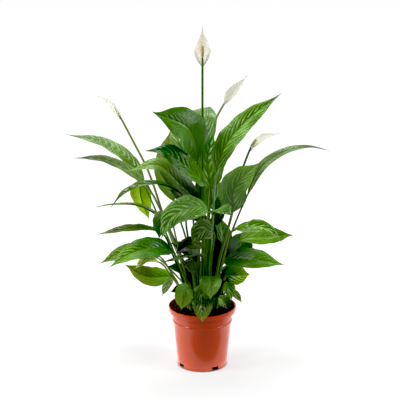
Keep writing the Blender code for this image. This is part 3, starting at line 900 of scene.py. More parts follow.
@dataclass(frozen=True)
class Leaf:
    """One leaf: its stalk and its blade, grown in one piece."""

    NECK = 4  # the mark of its course where the blade starts
    BENDS = (0.35, 0.7)  # shares of the stalk's rise that its course passes as well
    ROW = 0.0018  # length of the blade's rows
    ROWS = (30, 120)  # fewest and most of them
    AROUND = 14  # points round its stalk
    LEAST = 0.0004  # half width of the blade at its ends

    name: str
    look: Look
    seat: tuple[float, int]  # column and row in the crown
    width: float
    face: tuple[float, float]  # azimuth and elevation that the blade's base faces
    face_tip: tuple[float, float]  # and its tip
    line: tuple[Point, ...]  # from the neck along the midrib to the tip
    tones: tuple[Colour, Colour, Colour]  # of the base, the tip and the stalk, partly painted shade and painted light: dark where a leaf or stalk lies in shade, pale where it is lit
    foot_radius: float = 0.0026
    neck_radius: float = 0.0015
    upright: float = 0.004  # how far the stalk rises straight out of its socket
    fold: float = 0.24  # rise of each half, against its width
    swell: float = 0.07  # and its bulge
    groove: float = 0.0004  # depth of the channel over the midrib
    groove_width: float = 0.0014
    wander: float = 0.025  # unevenness of its outline, against its half width
    widest_at: float = 0.4
    thickness: float = 0.0005
    columns: int = 25

    def course(self) -> Course:
        """The leaf's whole line.

        Returns:
            The curve from the bottom of its socket to its tip.
        """
        soil = CROWN.foot(*self.seat)
        rise = np.array(self.line[0]) - soil
        places = [soil - (0, 0, CROWN.socket), soil + (0, 0, self.upright)]
        for share in self.BENDS:
            lean = share**1.4
            places.append(soil + rise * (lean, lean, share))
        return Course([*places, *self.line])

    def profile(self, share: np.ndarray) -> np.ndarray:
        """The blade's outline, from its base to a drawn-out tip.

        Args:
            share: Shares of its length.

        Returns:
            Half widths there, over the greatest one.
        """
        near = 1 - (1 - (share / self.widest_at).clip(0, 1)) ** 2.4
        past = ((share - self.widest_at) / (1 - self.widest_at)).clip(0, 1)
        blade = (1 - past**2.2) * (1 - 0.12 * past) * (1 - 0.55 * smooth(share, 0.74, 0.97))
        return np.where(share < self.widest_at, near, blade)

    def build(self, finishes: dict[Any, bpy.types.Material]) -> bpy.types.Object:
        """Build the leaf in the place of its CAD node.

        Args:
            finishes: Materials by look, and the shared ones.

        Returns:
            The piece.
        """
        tissue = Tissue()
        self.grow(tissue)
        slots = [finishes[finish] for finish in (self.look, UNDERSIDE, PETIOLE)]
        return settle(tissue.piece(f"grown_{self.name}", *slots), self.name)

    def grow(self, tissue: Tissue) -> None:
        """Add the blade and the stalk to a mesh.

        Args:
            tissue: The mesh.
        """
        course = self.course()
        self._grow_blade(course, tissue)
        self._grow_stalk(course, tissue)

    def frame_at(self, course: Course, share: np.ndarray) -> tuple[np.ndarray, ...]:
        """Where the blade lies.

        Args:
            course: The leaf's line.
            share: Shares of the blade's length.

        Returns:
            Places, sides and normals there.
        """
        neck = course.length_at(self.NECK)
        lengths = neck + (course.length - neck) * share
        heading = course.headings(lengths)
        azimuth, elevation = (
            low + (high - low) * share for low, high in zip(self.face, self.face_tip)
        )
        normal = across_heading(direction(azimuth, elevation), heading)
        return course.places(lengths), np.cross(heading, normal), normal

    def _grow_blade(self, course: Course, tissue: Tissue) -> None:
        """Add the blade's shell.

        Args:
            course: The leaf's line.
            tissue: The mesh.
        """
        chance = random.Random(self.name)
        growth: Growth = self.look.value
        blade = course.length - course.length_at(self.NECK)
        rows = int(np.clip(blade / self.ROW, *self.ROWS))
        even = np.linspace(0, 1, rows)
        share = 0.7 * even + 0.3 * (0.5 - 0.5 * np.cos(np.pi * even))
        place, side, normal = (a[:, None] for a in self.frame_at(course, share))
        t = np.linspace(-1, 1, self.columns)[None, :]
        out = np.abs(t)
        s = share[:, None]
        full = self.width / 2
        half = np.maximum(full * self.profile(s), self.LEAST)
        wobble = np.sin(math.tau * (s * 5 + chance.random()) + (t > 0) * 2)
        y = t * half * (1 + self.wander * wobble)
        off = np.abs(y)
        along = s * blade
        lean = chance.uniform(0.2, 0.4) * t
        phase = (along - off * (1.1 + 1.9 * out)) / growth.spacing + lean
        inner = np.sin(np.pi * out**0.8) ** 0.7 * smooth(s, 0.02, 0.14)
        inner = inner * (1 - 0.8 * smooth(s, 0.75, 1)) * np.minimum(1, half / full * 1.3)
        # the fold along the midrib, the swelling of each half, and the bent margins
        rise = self.fold * (np.sqrt(off**2 + (0.1 * half) ** 2) - 0.1 * half)
        rise += self.swell * half * np.sin(np.pi * out)
        rise -= growth.droop * half * out**3
        rise -= growth.ruck * inner * np.cos(math.tau * phase)
        rise -= self.groove * np.exp(-((y / self.groove_width) ** 2)) * (1 - smooth(s, 0.6, 1))
        # long waves along the margins, with shorter ones on them
        wave = growth.wave * half * out**2.5
        start = chance.random(), chance.random()
        beat = chance.uniform(0.036, 0.052)
        turn = np.where(t > 0, start[0], start[1])
        rise += wave * np.sin(math.tau * (along / beat + turn))
        rise += 0.25 * wave * np.sin(math.tau * (along / (beat * 0.43) + 2 * turn))
        top = place + side * y[..., None] + normal * rise[..., None]
        thick = np.minimum(self.thickness * (1 - 0.5 * out), half * 0.5)
        # the ramp from the base's tone to the tip's also paints the shade and light along the blade
        blend = smooth(s, 0.15, 0.85)[..., None]
        tone = np.array(self.tones[0]) * (1 - blend) + np.array(self.tones[1]) * blend
        tissue.sheet(top, top - normal * thick[..., None], woven(phase, out, s), tone)

    def _grow_stalk(self, course: Course, tissue: Tissue) -> None:
        """Add the stalk, which runs on under the blade as its midrib.

        Args:
            course: The leaf's line.
            tissue: The mesh.
        """
        neck = course.length_at(self.NECK)
        blade = course.length - neck
        below = np.linspace(0, neck, max(14, int(neck / 0.006)))[:-1]
        rib = np.linspace(0, 0.94, max(12, int(blade / 0.005)))
        place, _, normal = self.frame_at(course, rib)
        # the stalk's upper side is carried down from the blade, turning only as its line does
        headings = course.headings(below)
        carried = Vector(normal[0])
        last = Vector(course.headings(neck))
        normals = []
        for heading in headings[::-1]:
            now = Vector(heading)
            carried = last.rotation_difference(now) @ carried
            last = now
            normals.insert(0, tuple(carried))
        share = below / neck
        radius = self.foot_radius + (self.neck_radius - self.foot_radius) * share
        radius = radius * (1 + 0.25 * np.exp(-(((share - 0.94) / 0.035) ** 2)))
        thin = self.neck_radius * (1 - rib / 0.98) ** 0.7
        sink = np.concatenate([0 * below, smooth(rib, 0, 0.06) * (thin * 0.85 + self.thickness)])
        up = np.vstack([np.array(normals), normal])
        centre = np.vstack([course.places(below), place]) - up * sink[:, None]
        heading = np.vstack([headings, course.headings(neck + blade * rib)])
        # its foot is a broad open sheath, and a shallow channel runs up it
        sheath = np.concatenate([1 - smooth(share, 0.08, 0.5), 0 * rib])[:, None]
        angle = -np.arange(self.AROUND) / self.AROUND * math.tau
        channel = np.exp(-(((np.sin(angle) - 1) / 0.25) ** 2))
        wide = np.cos(angle) * (1 + 0.3 * sheath)
        high = np.sin(angle) * (1 - 0.05 * sheath) - 0.4 * sheath * channel
        high = high - 0.15 * channel * (1 - sheath)
        size = np.concatenate([radius, thin])[:, None]
        rings = tube(centre, np.cross(heading, up), up, wide * size, high * size)
        length = np.concatenate([below, neck + blade * rib])
        grown = np.concatenate([share, 1 + rib])
        veins = woven(np.abs(np.sin(angle / 2)), length[:, None], grown[:, None])
        tissue.loop(rings, veins, self.tones[2], 2)


@dataclass(frozen=True)
class YoungGrowth:
    """Small dark leaves deep in the crown, which stand between the larger ones' stalks and fill it
    with painted shade.
    """

    leaves: tuple[Leaf, ...]

    def build(self, finishes: dict[Any, bpy.types.Material]) -> bpy.types.Object:
        """Build them as one piece.

        Args:
            finishes: Materials by look, and the shared ones.

        Returns:
            The piece.
        """
        tissue = Tissue()
        for leaf in self.leaves:
            leaf.grow(tissue)
        slots = [finishes[finish] for finish in (Look.SMOOTH, UNDERSIDE, PETIOLE)]
        made = tissue.piece("young_leaves", *slots)
        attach(made, BODY)
        LOG.info("%s stands in the crown", made.name)
        return made


def milli(rows: Iterable[Sequence[int]]) -> tuple[Any, ...]:
    """Rows of numbers that count thousandths, brought to whole units."""
    return tuple(tuple(number / 1000 for number in row) for row in rows)


def leaves(names: str, table: Iterable[tuple[Any, ...]], **sizes: float) -> tuple[Leaf, ...]:
    """Leaves from a table.

    Args:
        names: Their names, with braces in place of a number.
        table: For each: its look, its seat, its width, where its base and its tip face, its line
            from neck to tip, and the tones of its base, tip and stalk. Lengths are in
            millimetres and tones in thousandths.
        sizes: Other sizes that they share.

    Returns:
        The leaves, numbered as they stand in the table.
    """
    grown = []
    for number, (look, seat, width, face, face_tip, line, tones) in enumerate(table, 1):
        size = width / 1000
        name = names.format(number)
        grown.append(
            Leaf(name, look, seat, size, face, face_tip, milli(line), milli(tones), **sizes)
        )
    return tuple(grown)


# the tones below hold painted shade and painted light: near black for leaves in shade, pale for lit
# and backlit ones
LEAF_ROWS = (
    # broad leaf over the middle, arching to the left
    (Look.SMOOTH, (-1, 1), 80, (-50, 35), (-75, 45),
     ((-10, -30, 415), (-25, -60, 480), (-90, -80, 520)),
     ((53, 183, 2), (51, 176, 1), (53, 141, 14))),
    # top leaf, turning away behind
    (Look.VEINED, (0, 3), 43, (-95, 40), (-90, 80), ((5, 40, 415), (5, 65, 475), (-25, 150, 470)),
     ((126, 286, 62), (173, 259, 82), (53, 180, 14))),
    # upper middle, pointing left
    (Look.STRIPED, (0, 0), 48, (-75, 45), (-80, 60),
     ((5, -60, 375), (-35, -95, 425), (-65, -95, 450), (-105, -90, 450)),
     ((91, 243, 11), (5, 80, 1), (85, 237, 14))),
    # dark leaf under the upper middle one
    (Look.SMOOTH, (-1, 0), 42, (-70, 25), (-95, 75),
     ((-5, -25, 325), (-45, -40, 375), (-80, -45, 410), (-140, -50, 400)),
     ((4, 42, 1), (203, 372, 58), (140, 213, 76))),
    # upright leaf behind the broad one
    (Look.STRIPED, (-1, 2), 38, (-100, 20), (-90, 20),
     ((-25, 5, 390), (-40, 0, 435), (-60, 10, 475)),
     ((110, 372, 94), (360, 593, 171), (85, 190, 20))),
    # tall yellow-green leaf at the back left
    (Look.SHEER, (-1, 3), 48, (-80, -5), (-80, 10),
     ((-55, 60, 310), (-70, 90, 370), (-60, 105, 445)),
     ((221, 398, 48), (800, 900, 197), (30, 166, 8))),
    # long bright leaf, rising to the right
    (Look.STRIPED, (1, 1), 45, (-110, 35), (-110, 40),
     ((25, -15, 380), (40, -30, 440), (75, -30, 485), (145, -15, 540)),
     ((279, 593, 93), (125, 283, 33), (252, 378, 176))),
    # upright leaf in the middle
    (Look.STRIPED, (1, 2), 58, (-90, 10), (-90, 20), ((15, 0, 350), (10, 5, 410), (20, 20, 455)),
     ((199, 414, 68), (43, 200, 1), (85, 190, 20))),
    # dark leaf right of the middle
    (Look.VEINED, (2, 0), 54, (-95, 20), (-100, 35),
     ((55, -30, 315), (60, -45, 370), (105, -40, 415)),
     ((265, 449, 165), (281, 583, 105), (104, 205, 8))),
    # longest leaf, sweeping right
    (Look.SMOOTH, (2, 2), 21, (-110, 30), (-80, 95),
     ((85, 30, 330), (115, 45, 385), (165, 50, 415), (205, 55, 420), (250, 60, 410)),
     ((183, 296, 89), (131, 217, 75), (30, 80, 8))),
    # small leaf behind the right middle
    (Look.VEINED, (0, 4), 40, (-80, 20), (-90, 70), ((25, 50, 290), (30, 70, 320), (50, 95, 345)),
     ((72, 244, 22), (40, 129, 7), (85, 190, 20))),
    # dark leaf seen on edge, its tip hanging
    (Look.STRIPED, (-2, -1), 25, (-90, 97), (-80, 70),
     ((-40, -70, 365), (-85, -90, 390), (-140, -95, 375), (-170, -90, 340)),
     ((40, 156, 1), (63, 135, 1), (30, 80, 8))),
    # thin leaf on edge at the far left
    (Look.SMOOTH, (-2, 2), 22, (90, 80), (90, 75),
     ((-80, 35, 285), (-120, 50, 305), (-170, 60, 305), (-215, 70, 295)),
     ((48, 140, 1), (546, 900, 36), (30, 80, 8))),
    # yellow-green leaf that hangs at the back left
    (Look.SHEER, (-3, 2), 42, (-90, 90), (-90, 165),
     ((-120, 85, 345), (-120, 105, 305), (-105, 105, 260)),
     ((453, 736, 2), (580, 870, 34), (45, 172, 8))),
    # upper left, sweeping out and back
    (Look.VEINED, (-2, 1), 29, (-75, 60), (-80, 60),
     ((-110, 45, 355), (-140, 70, 390), (-185, 95, 415), (-265, 115, 430)),
     ((109, 229, 21), (168, 281, 88), (30, 80, 8))),
    # upper left, under the first
    (Look.VEINED, (-2, 0), 26, (-80, 60), (-90, 72),
     ((-100, -25, 360), (-140, -35, 400), (-180, -40, 420), (-240, -45, 425)),
     ((451, 695, 244), (110, 166, 61), (226, 333, 101))),
    # left, held flat
    (Look.VEINED, (-3, 0), 31, (-90, 82), (-90, 80),
     ((-75, -30, 275), (-125, -65, 295), (-195, -85, 290)),
     ((50, 161, 3), (101, 149, 23), (30, 80, 8))),
    # oval leaf that nods forward
    (Look.SMOOTH, (-3, -1), 34, (-100, 35), (-90, 10),
     ((-65, -40, 320), (-75, -65, 310), (-80, -80, 280)),
     ((179, 265, 64), (17, 184, 1), (175, 251, 71))),
    # pale corrugated leaf, front and centre
    (Look.QUILTED, (0, -1), 50, (-75, 50), (-110, 25),
     ((10, -60, 330), (-25, -100, 345), (-55, -120, 335), (-75, -125, 295)),
     ((176, 384, 64), (197, 405, 82), (85, 190, 20))),
    # leaf that points at the viewer
    (Look.STRIPED, (1, 0), 38, (-90, 80), (-80, 45),
     ((20, -40, 315), (40, -80, 335), (55, -100, 330)),
     ((359, 641, 192), (29, 128, 2), (85, 190, 20))),
    # crumpled leaf, low in the middle
    (Look.QUILTED, (1, -1), 40, (-80, 40), (-95, 20),
     ((20, -55, 285), (0, -75, 295), (-20, -95, 275)),
     ((128, 236, 67), (80, 163, 23), (85, 190, 20))),
    # dark leaf among the stalks
    (Look.SMOOTH, (-1, -1), 34, (-80, 45), (-80, 45),
     ((0, -45, 255), (-25, -60, 260), (-50, -75, 250)),
     ((62, 122, 16), (4, 12, 1), (85, 190, 20))),
    # small shining leaf among the stalks
    (Look.VEINED, (0, -2), 24, (-80, 85), (-90, 60),
     ((0, -65, 240), (-15, -90, 255), (-30, -100, 250)),
     ((231, 343, 164), (9, 41, 1), (44, 80, 17))),
    # large leaf, lower left, in front
    (Look.VEINED, (-2, -2), 48, (-85, 50), (-95, 60),
     ((-55, -65, 250), (-95, -105, 270), (-130, -120, 265), (-170, -125, 240)),
     ((13, 166, 1), (148, 336, 25), (120, 240, 25))),
    # lower left, behind the large one
    (Look.VEINED, (-4, 1), 32, (-90, 55), (-90, 45),
     ((-80, 20, 210), (-140, 30, 220), (-200, 40, 190)),
     ((130, 287, 15), (130, 287, 15), (120, 240, 25))),
    # lower left, at the back, on edge
    (Look.SMOOTH, (-2, 3), 34, (90, 80), (90, 80),
     ((-85, 70, 190), (-135, 100, 205), (-185, 125, 185)),
     ((45, 165, 15), (45, 165, 15), (120, 240, 25))),
    # bright leaf, low on the left
    (Look.SHEER, (-4, -1), 40, (-95, 45), (-90, 40),
     ((-55, -30, 185), (-100, -50, 195), (-145, -65, 225)),
     ((412, 848, 78), (800, 900, 164), (170, 280, 30))),
    # small pale leaf over the bright one
    (Look.VEINED, (-3, -2), 20, (-90, 75), (-90, 50),
     ((-80, -95, 240), (-100, -105, 250), (-125, -105, 230)),
     ((800, 900, 251), (800, 900, 276), (170, 280, 30))),
    # small leaf that hangs, low on the left
    (Look.VEINED, (-3, -3), 17, (-120, 30), (-120, 10),
     ((-55, -70, 200), (-65, -80, 190), (-75, -85, 170)),
     ((241, 380, 106), (280, 445, 139), (170, 280, 30))),
    # dark leaf on edge across the stalks
    (Look.SMOOTH, (-1, -2), 24, (-90, 100), (-90, 95),
     ((-25, -60, 240), (-50, -80, 240), (-75, -80, 235)),
     ((98, 221, 2), (129, 172, 121), (139, 243, 56))),
    # veined leaf on the right, nodding
    (Look.QUILTED, (2, -1), 35, (-90, 70), (-80, 55),
     ((55, -65, 290), (85, -100, 310), (115, -110, 310), (145, -115, 285)),
     ((108, 280, 12), (180, 350, 57), (170, 280, 30))),
    # bright leaf on the far right
    (Look.VEINED, (3, 1), 44, (-90, 60), (-90, 55), ((70, -5, 250), (125, 10, 255), (175, 20, 255)),
     ((140, 307, 18), (89, 240, 2), (85, 190, 20))),
    # dark leaf behind the right
    (Look.SMOOTH, (3, 2), 54, (-95, 15), (-90, 20), ((50, 45, 185), (70, 65, 210), (90, 90, 245)),
     ((4, 12, 1), (11, 84, 1), (30, 98, 8))),
    # bright leaf, right, in front
    (Look.VEINED, (2, -2), 48, (-90, 55), (-90, 50),
     ((40, -55, 225), (90, -95, 245), (150, -110, 240)),
     ((5, 75, 1), (133, 348, 22), (120, 240, 25))),
    # low on the right, behind
    (Look.VEINED, (3, 0), 40, (-90, 30), (-85, 20),
     ((45, -15, 185), (70, -25, 190), (90, -35, 195)),
     ((66, 253, 1), (484, 900, 37), (170, 280, 30))),
    # small leaf, low on the right
    (Look.STRIPED, (3, -2), 26, (-60, 35), (-60, 20),
     ((45, -50, 185), (50, -60, 175), (55, -65, 155)),
     ((61, 186, 1), (141, 321, 1), (120, 240, 25))),
    # small leaf, lowest right
    (Look.VEINED, (3, -1), 16, (-90, 60), (-70, 40),
     ((45, -35, 160), (60, -45, 160), (75, -55, 145)),
     ((205, 308, 63), (205, 308, 63), (85, 190, 20))),
    # dark leaf over the soil on the right
    (Look.SMOOTH, (1, -3), 26, (-80, 50), (-80, 30),
     ((30, -40, 150), (40, -45, 145), (50, -55, 130)),
     ((460, 788, 194), (16, 30, 1), (85, 190, 20))),
    # bright leaf that hangs over the crown
    (Look.SMOOTH, (1, -2), 42, (-90, 115), (-90, 25),
     ((15, -35, 190), (15, -65, 185), (15, -90, 165)),
     ((52, 192, 1), (249, 522, 70), (85, 190, 20))),
    # dark leaf under it
    (Look.SMOOTH, (0, -3), 32, (-95, 115), (-90, 20), ((5, -45, 180), (0, -55, 165), (0, -70, 145)),
     ((171, 351, 46), (44, 120, 4), (85, 190, 20))),
    # lowest leaf, its tip over the rim
    (Look.VEINED, (0, -4), 38, (-90, 95), (-90, 40), ((0, -40, 140), (0, -55, 145), (0, -80, 115)),
     ((141, 306, 125), (267, 381, 38), (85, 190, 20))),
    # bright leaf that hangs at the front left
    (Look.SHEER, (-2, -3), 36, (-75, 45), (-80, 20),
     ((-20, -60, 175), (-30, -70, 175), (-40, -80, 140)),
     ((388, 803, 128), (661, 900, 154), (85, 190, 20))),
    # upright leaf in the shade at the back
    (Look.SMOOTH, (1, 3), 42, (-90, 5), (-90, 15), ((35, 55, 185), (40, 80, 225), (35, 100, 270)),
     ((4, 12, 1), (44, 160, 1), (100, 240, 30))),
    # small dark leaf, low in the middle
    (Look.SMOOTH, (-1, -3), 28, (-80, 40), (-80, 40),
     ((-10, -55, 205), (-25, -70, 225), (-40, -80, 235)),
     ((50, 91, 27), (17, 74, 1), (56, 80, 49))),
)
LEAVES = leaves("leaf_{:02d}", LEAF_ROWS)

# tones of painted shade for the leaves deep in the crown, in thousandths
SHADE_DEEP, SHADE_DIM, SHADE_FAINT, YOUNG_STALK = (8, 30, 4), (16, 55, 5), (30, 100, 10), (60, 140, 15)
# seat, width, facings, line, and tones of base and tip
YOUNG_ROWS = (
    ((0.5, 0), 40, (-90, 40), (-90, 60), ((-4, 10, 284), (-27, 5, 323), (-65, 0, 354)), SHADE_DEEP, SHADE_DIM),
    ((-1.5, -1), 30, (-90, 50), (-90, 50), ((-12, 5, 206), (-31, -5, 233), (-61, -15, 251)),
     SHADE_DEEP, SHADE_DIM),
    ((-2.5, 1), 26, (-90, 60), (-90, 40), ((-20, 0, 167), (-39, -10, 195), (-69, -20, 206)),
     SHADE_DIM, SHADE_FAINT),
    ((0.5, 2), 30, (-90, 10), (-90, 20), ((7, 15, 226), (13, 20, 261), (1, 25, 300)), SHADE_DEEP, SHADE_DIM),
    ((1.5, 3), 34, (-90, 10), (-90, 20), ((23, 30, 177), (26, 35, 216), (19, 40, 255)), SHADE_DEEP, SHADE_DEEP),
    ((-0.5, 3), 36, (-90, 10), (-90, 30), ((-4, 25, 141), (-8, 30, 177), (-24, 35, 210)),
     SHADE_DEEP, SHADE_DIM),
    ((2.5, 0), 30, (-90, 30), (-90, 40), ((38, 20, 143), (50, 25, 172), (65, 30, 197)), SHADE_DEEP, SHADE_DIM),
    ((-1.5, 4), 34, (-90, 50), (90, 60), ((-4, 50, 153), (-20, 65, 185), (-44, 80, 205)),
     SHADE_DIM, SHADE_FAINT),
    ((1.5, 4), 34, (90, 60), (90, 50), ((19, 50, 143), (39, 70, 167), (67, 90, 176)), SHADE_DIM, SHADE_FAINT),
    ((-2.5, -2), 24, (-90, 50), (-90, 30), ((-27, -30, 141), (-42, -40, 165), (-61, -50, 165)),
     SHADE_DEEP, SHADE_DIM),
    ((2.5, -1), 26, (-90, 40), (-90, 30), ((26, -10, 134), (37, -15, 164), (56, -20, 170)),
     SHADE_DEEP, SHADE_DIM),
    ((-0.5, 2), 36, (-90, 10), (-90, 20), ((3, 35, 290), (1, 38, 330), (-4, 40, 377)), SHADE_DIM, SHADE_FAINT),
    ((1.5, 2), 26, (-90, 10), (-90, 20), ((26, 32, 269), (32, 36, 304), (41, 40, 341)), SHADE_DIM, SHADE_FAINT),
    ((1.0, 1), 22, (-90, 10), (-90, 20), ((25, 16, 141), (23, 20, 166), (17, 24, 199)), SHADE_DEEP, SHADE_DIM),
)
YOUNG = YoungGrowth(
    leaves(
        "young_leaf_{}",
        ((Look.SMOOTH, *row[:5], (*row[5:], YOUNG_STALK)) for row in YOUNG_ROWS),
        foot_radius=0.0016,
        neck_radius=0.0011,
    )
)


# --------------------------------------------------------------------------- flowers


@dataclass(frozen=True)
class Flower:
    """One flower: its stalk, the white spathe and the spadix in front of it."""

    AROUND = 12  # points round its stalk
    SPIKE_GRID = (76, 66)  # rings of its spadix, and points round each
    SPATHE_GRID = (64, 21)  # rows of its spathe, and points across each
    FLORET = 0.0021  # height of a row of florets
    FLORETS = 11  # round the spadix

    name: str
    seat: tuple[int, int]
    route: tuple[Point, ...]  # of its stalk
    ridge: Point  # a place on the spathe's midrib
    tip: Point
    width: float  # of the spathe
    face: tuple[float, float]  # where that faces
    spadix: float  # its length
    lean: tuple[float, float]  # where it points
    bare: float  # length of stalk between the spathe and the spadix
    stalk_tone: Colour
    spike: SpadixFinish
    foot_radius: float = 0.0020
    top_radius: float = 0.0015
    upright: float = 0.008
    girth: float = 0.0005  # what the stalk's ribs add to its radius
    gap: float = 0.0003
    thickness: float = 0.0006
    cup: float = 0.35
    widest_at: float = 0.38
    base_share: float = 0.12
    spadix_radius: float = 0.0032
    spadix_neck: float = 0.0012
    floret_depth: float = 0.00035

    def course(self) -> Course:
        """The stalk's line, from the bottom of its socket to its top."""
        soil = CROWN.foot(*self.seat)
        return Course([soil - (0, 0, CROWN.socket), soil + (0, 0, self.upright), *self.route])

    def build(self, finishes: dict[Any, bpy.types.Material]) -> list[bpy.types.Object]:
        """Build the flower's three pieces in the place of their CAD nodes.

        Args:
            finishes: Materials by their finish.

        Returns:
            The pieces.
        """
        course = self.course()
        made = []
        for part, grow, finish in (
            ("stalk", self._grow_stalk, FLOWER_STALK),
            ("spathe", self._grow_spathe, SPATHE),
            ("spadix", self._grow_spadix, self.spike),
        ):
            tissue = Tissue()
            grow(course, tissue)
            node = f"{self.name}_{part}"
            slots = [finishes[finish]] * (max(tissue.slots) + 1)
            made.append(settle(tissue.piece(f"grown_{node}", *slots), node))
        return made

    def _grow_stalk(self, course: Course, tissue: Tissue) -> None:
        """Add the stalk: a slender tube that thickens a little under the flower.

        Args:
            course: Its line.
            tissue: The mesh.
        """
        lengths = np.linspace(0, course.length, int(course.length / 0.006))
        heading = course.headings(lengths)
        up = across_heading(direction(*self.face), heading)
        share = lengths / course.length
        radius = self.foot_radius + (self.top_radius - self.foot_radius) * share
        radius = radius * (1 + 0.12 * np.exp(-(((share - 0.985) / 0.012) ** 2)))
        radius = radius + self.girth * smooth(share, 0.02, 0.1) * (1 - smooth(share, 0.95, 1))
        angle = -np.arange(self.AROUND) / self.AROUND * math.tau
        wide, high = (turn * radius[:, None] for turn in (np.cos(angle), np.sin(angle)))
        rings = tube(course.places(lengths), np.cross(heading, up), up, wide, high)
        veins = woven(np.abs(np.sin(angle / 2)), lengths[:, None], share[:, None])
        tissue.loop(rings, veins, self.stalk_tone)

    def profile(self, share: np.ndarray) -> np.ndarray:
        """The spathe's outline, from its base to a thread-like tip.

        Args:
            share: Shares of its length.

        Returns:
            Half widths there, over the greatest one.
        """
        near = 1 - (1 - (share / self.widest_at).clip(0, 1)) ** 2
        near = self.base_share + (1 - self.base_share) * near
        past = ((share - self.widest_at) / (1 - self.widest_at)).clip(0, 1)
        blade = np.maximum((1 - past**1.35) * (1 - 0.5 * smooth(past, 0.3, 0.9)), 0.03)
        return np.where(share < self.widest_at, near, blade)

    def _grow_spathe(self, course: Course, tissue: Tissue) -> None:
        """Add the spathe: a thin cupped leaf that stands behind the spadix.

        Args:
            course: The stalk's line.
            tissue: The mesh.
        """
        chance = random.Random(self.name)
        face = direction(*self.face)
        low = course.length - self.bare
        heading = course.headings(low)
        away = self.top_radius + self.gap + 0.0008
        base = course.places(low) - across_heading(face, heading) * away
        midrib = Course([base - heading * 0.003, base, self.ridge, self.tip])
        start = midrib.length_at(1)
        rows, columns = self.SPATHE_GRID
        share = np.linspace(0, 1, rows)
        lengths = start + (midrib.length - start) * share
        now = midrib.headings(lengths)
        normal = across_heading(face, now)
        side = np.cross(now, normal)[:, None]
        normal = normal[:, None]
        t = np.linspace(-1, 1, columns)[None, :]
        out = np.abs(t)
        s = share[:, None]
        half = self.width / 2 * self.profile(s)
        y = half * t * (1 + 0.02 * np.sin(math.tau * (s * 4 + chance.random())))
        vein = t * 5.5
        rise = self.cup * half * t**2 - 0.00006 * np.cos(math.tau * vein)
        rise += 0.03 * half * out**3 * np.sin(math.tau * (s * 3 + chance.random()))
        place = midrib.places(lengths)[:, None]
        mid = place + side * y[..., None] + normal * rise[..., None]
        thick = np.minimum(self.thickness * (1 - 0.5 * out), half * 0.6)[..., None] / 2
        over, under = mid + normal * thick, mid - normal * thick
        tissue.sheet(over, under, woven(vein, out, s), (1, 1, 1))

    def _grow_spadix(self, course: Course, tissue: Tissue) -> None:
        """Add the spadix: a blunt spike covered in florets.

        Args:
            course: The stalk's line.
            tissue: The mesh.
        """
        axis = direction(*self.lean)
        heading = course.headings(course.length)
        angle = math.acos(float(np.clip(axis @ heading, -1, 1)))
        foot = course.places(course.length)
        foot = foot + heading * (self.gap + self.spadix_neck * math.sin(angle))
        side = unit(np.cross(axis, (0.3, 0.2, 1.0) if abs(axis[2]) < 0.9 else (1, 0, 0)))
        up = np.cross(side, axis)
        rows, around = self.SPIKE_GRID
        share = np.linspace(0, 1, rows)
        stops = [0, 0.08, 0.25, 0.6, 0.85, 0.97, 1]
        radii = [self.spadix_neck / self.spadix_radius, 0.8, 1, 1, 0.88, 0.55, 0.06]
        radius = self.spadix_radius * np.interp(share, stops, radii)
        share = share[:, None]
        turn = -np.arange(around) / around * math.tau
        u = turn[None, :] / math.tau * self.FLORETS
        v = share * self.spadix / self.FLORET
        floret = (np.cos(np.pi * (u + v)) * np.cos(np.pi * (u - v))) ** 2
        swell = self.floret_depth * floret * smooth(share, 0.02, 0.1)
        reach = radius[:, None] - 0.0003 + swell
        centre = foot + axis * self.spadix * share
        rings = tube(centre, side, up, np.cos(turn) * reach, np.sin(turn) * reach)
        tissue.loop(rings, woven(floret, 0.0, share), (1, 1, 1))


BEIGE_SPIKE = SpadixFinish("spadix_beige", (0.82, 0.68, 0.36), (0.42, 0.30, 0.12))
CREAM_SPIKE = SpadixFinish("spadix_cream", (0.92, 0.90, 0.62), (0.62, 0.60, 0.30))
PALE_SPIKE = SpadixFinish("spadix_pale", (0.96, 0.96, 0.80), (0.84, 0.86, 0.58))

FLOWERS = (
    Flower(
        "flower_1", (0, 1),
        ((0.0, -0.01, 0.335), (0.0, -0.01, 0.475), (0.0, -0.01, 0.535), (0.0, -0.01, 0.605)),
        (0.0, 0.0, 0.615), (0.0, 0.005, 0.66), 0.03, (-90, 5), 0.024, (-90, 84), 0.017,
        (0.055, 0.120, 0.022), BEIGE_SPIKE,
    ),
    Flower(
        "flower_2", (0, 2),
        ((0.015, 0.015, 0.355), (0.02, 0.03, 0.44), (0.025, 0.025, 0.48), (0.045, 0.02, 0.52)),
        (0.06, 0.01, 0.54), (0.085, 0.01, 0.57), 0.022, (100, 20), 0.024, (50, 54), 0.009,
        (0.190, 0.320, 0.080), BEIGE_SPIKE,
    ),
    Flower(
        "flower_3", (2, 1),
        ((0.06, -0.01, 0.325), (0.075, -0.01, 0.395), (0.09, -0.005, 0.435)),
        (0.11, -0.01, 0.45), (0.145, -0.015, 0.465), 0.024, (-150, 45), 0.02, (-27, 54), 0.008,
        (0.120, 0.190, 0.060), CREAM_SPIKE,
    ),
    Flower(
        "flower_4", (-3, 1),
        ((-0.075, 0.01, 0.3), (-0.105, 0.015, 0.39), (-0.13, 0.02, 0.44), (-0.155, 0.02, 0.49)),
        (-0.175, 0.02, 0.51), (-0.2, 0.02, 0.53), 0.02, (-38, 42), 0.02, (-171, 60), 0.008,
        (0.250, 0.310, 0.080), PALE_SPIKE, spadix_radius=0.0021,
    ),
)


# --------------------------------------------------------------------------- pot and soil


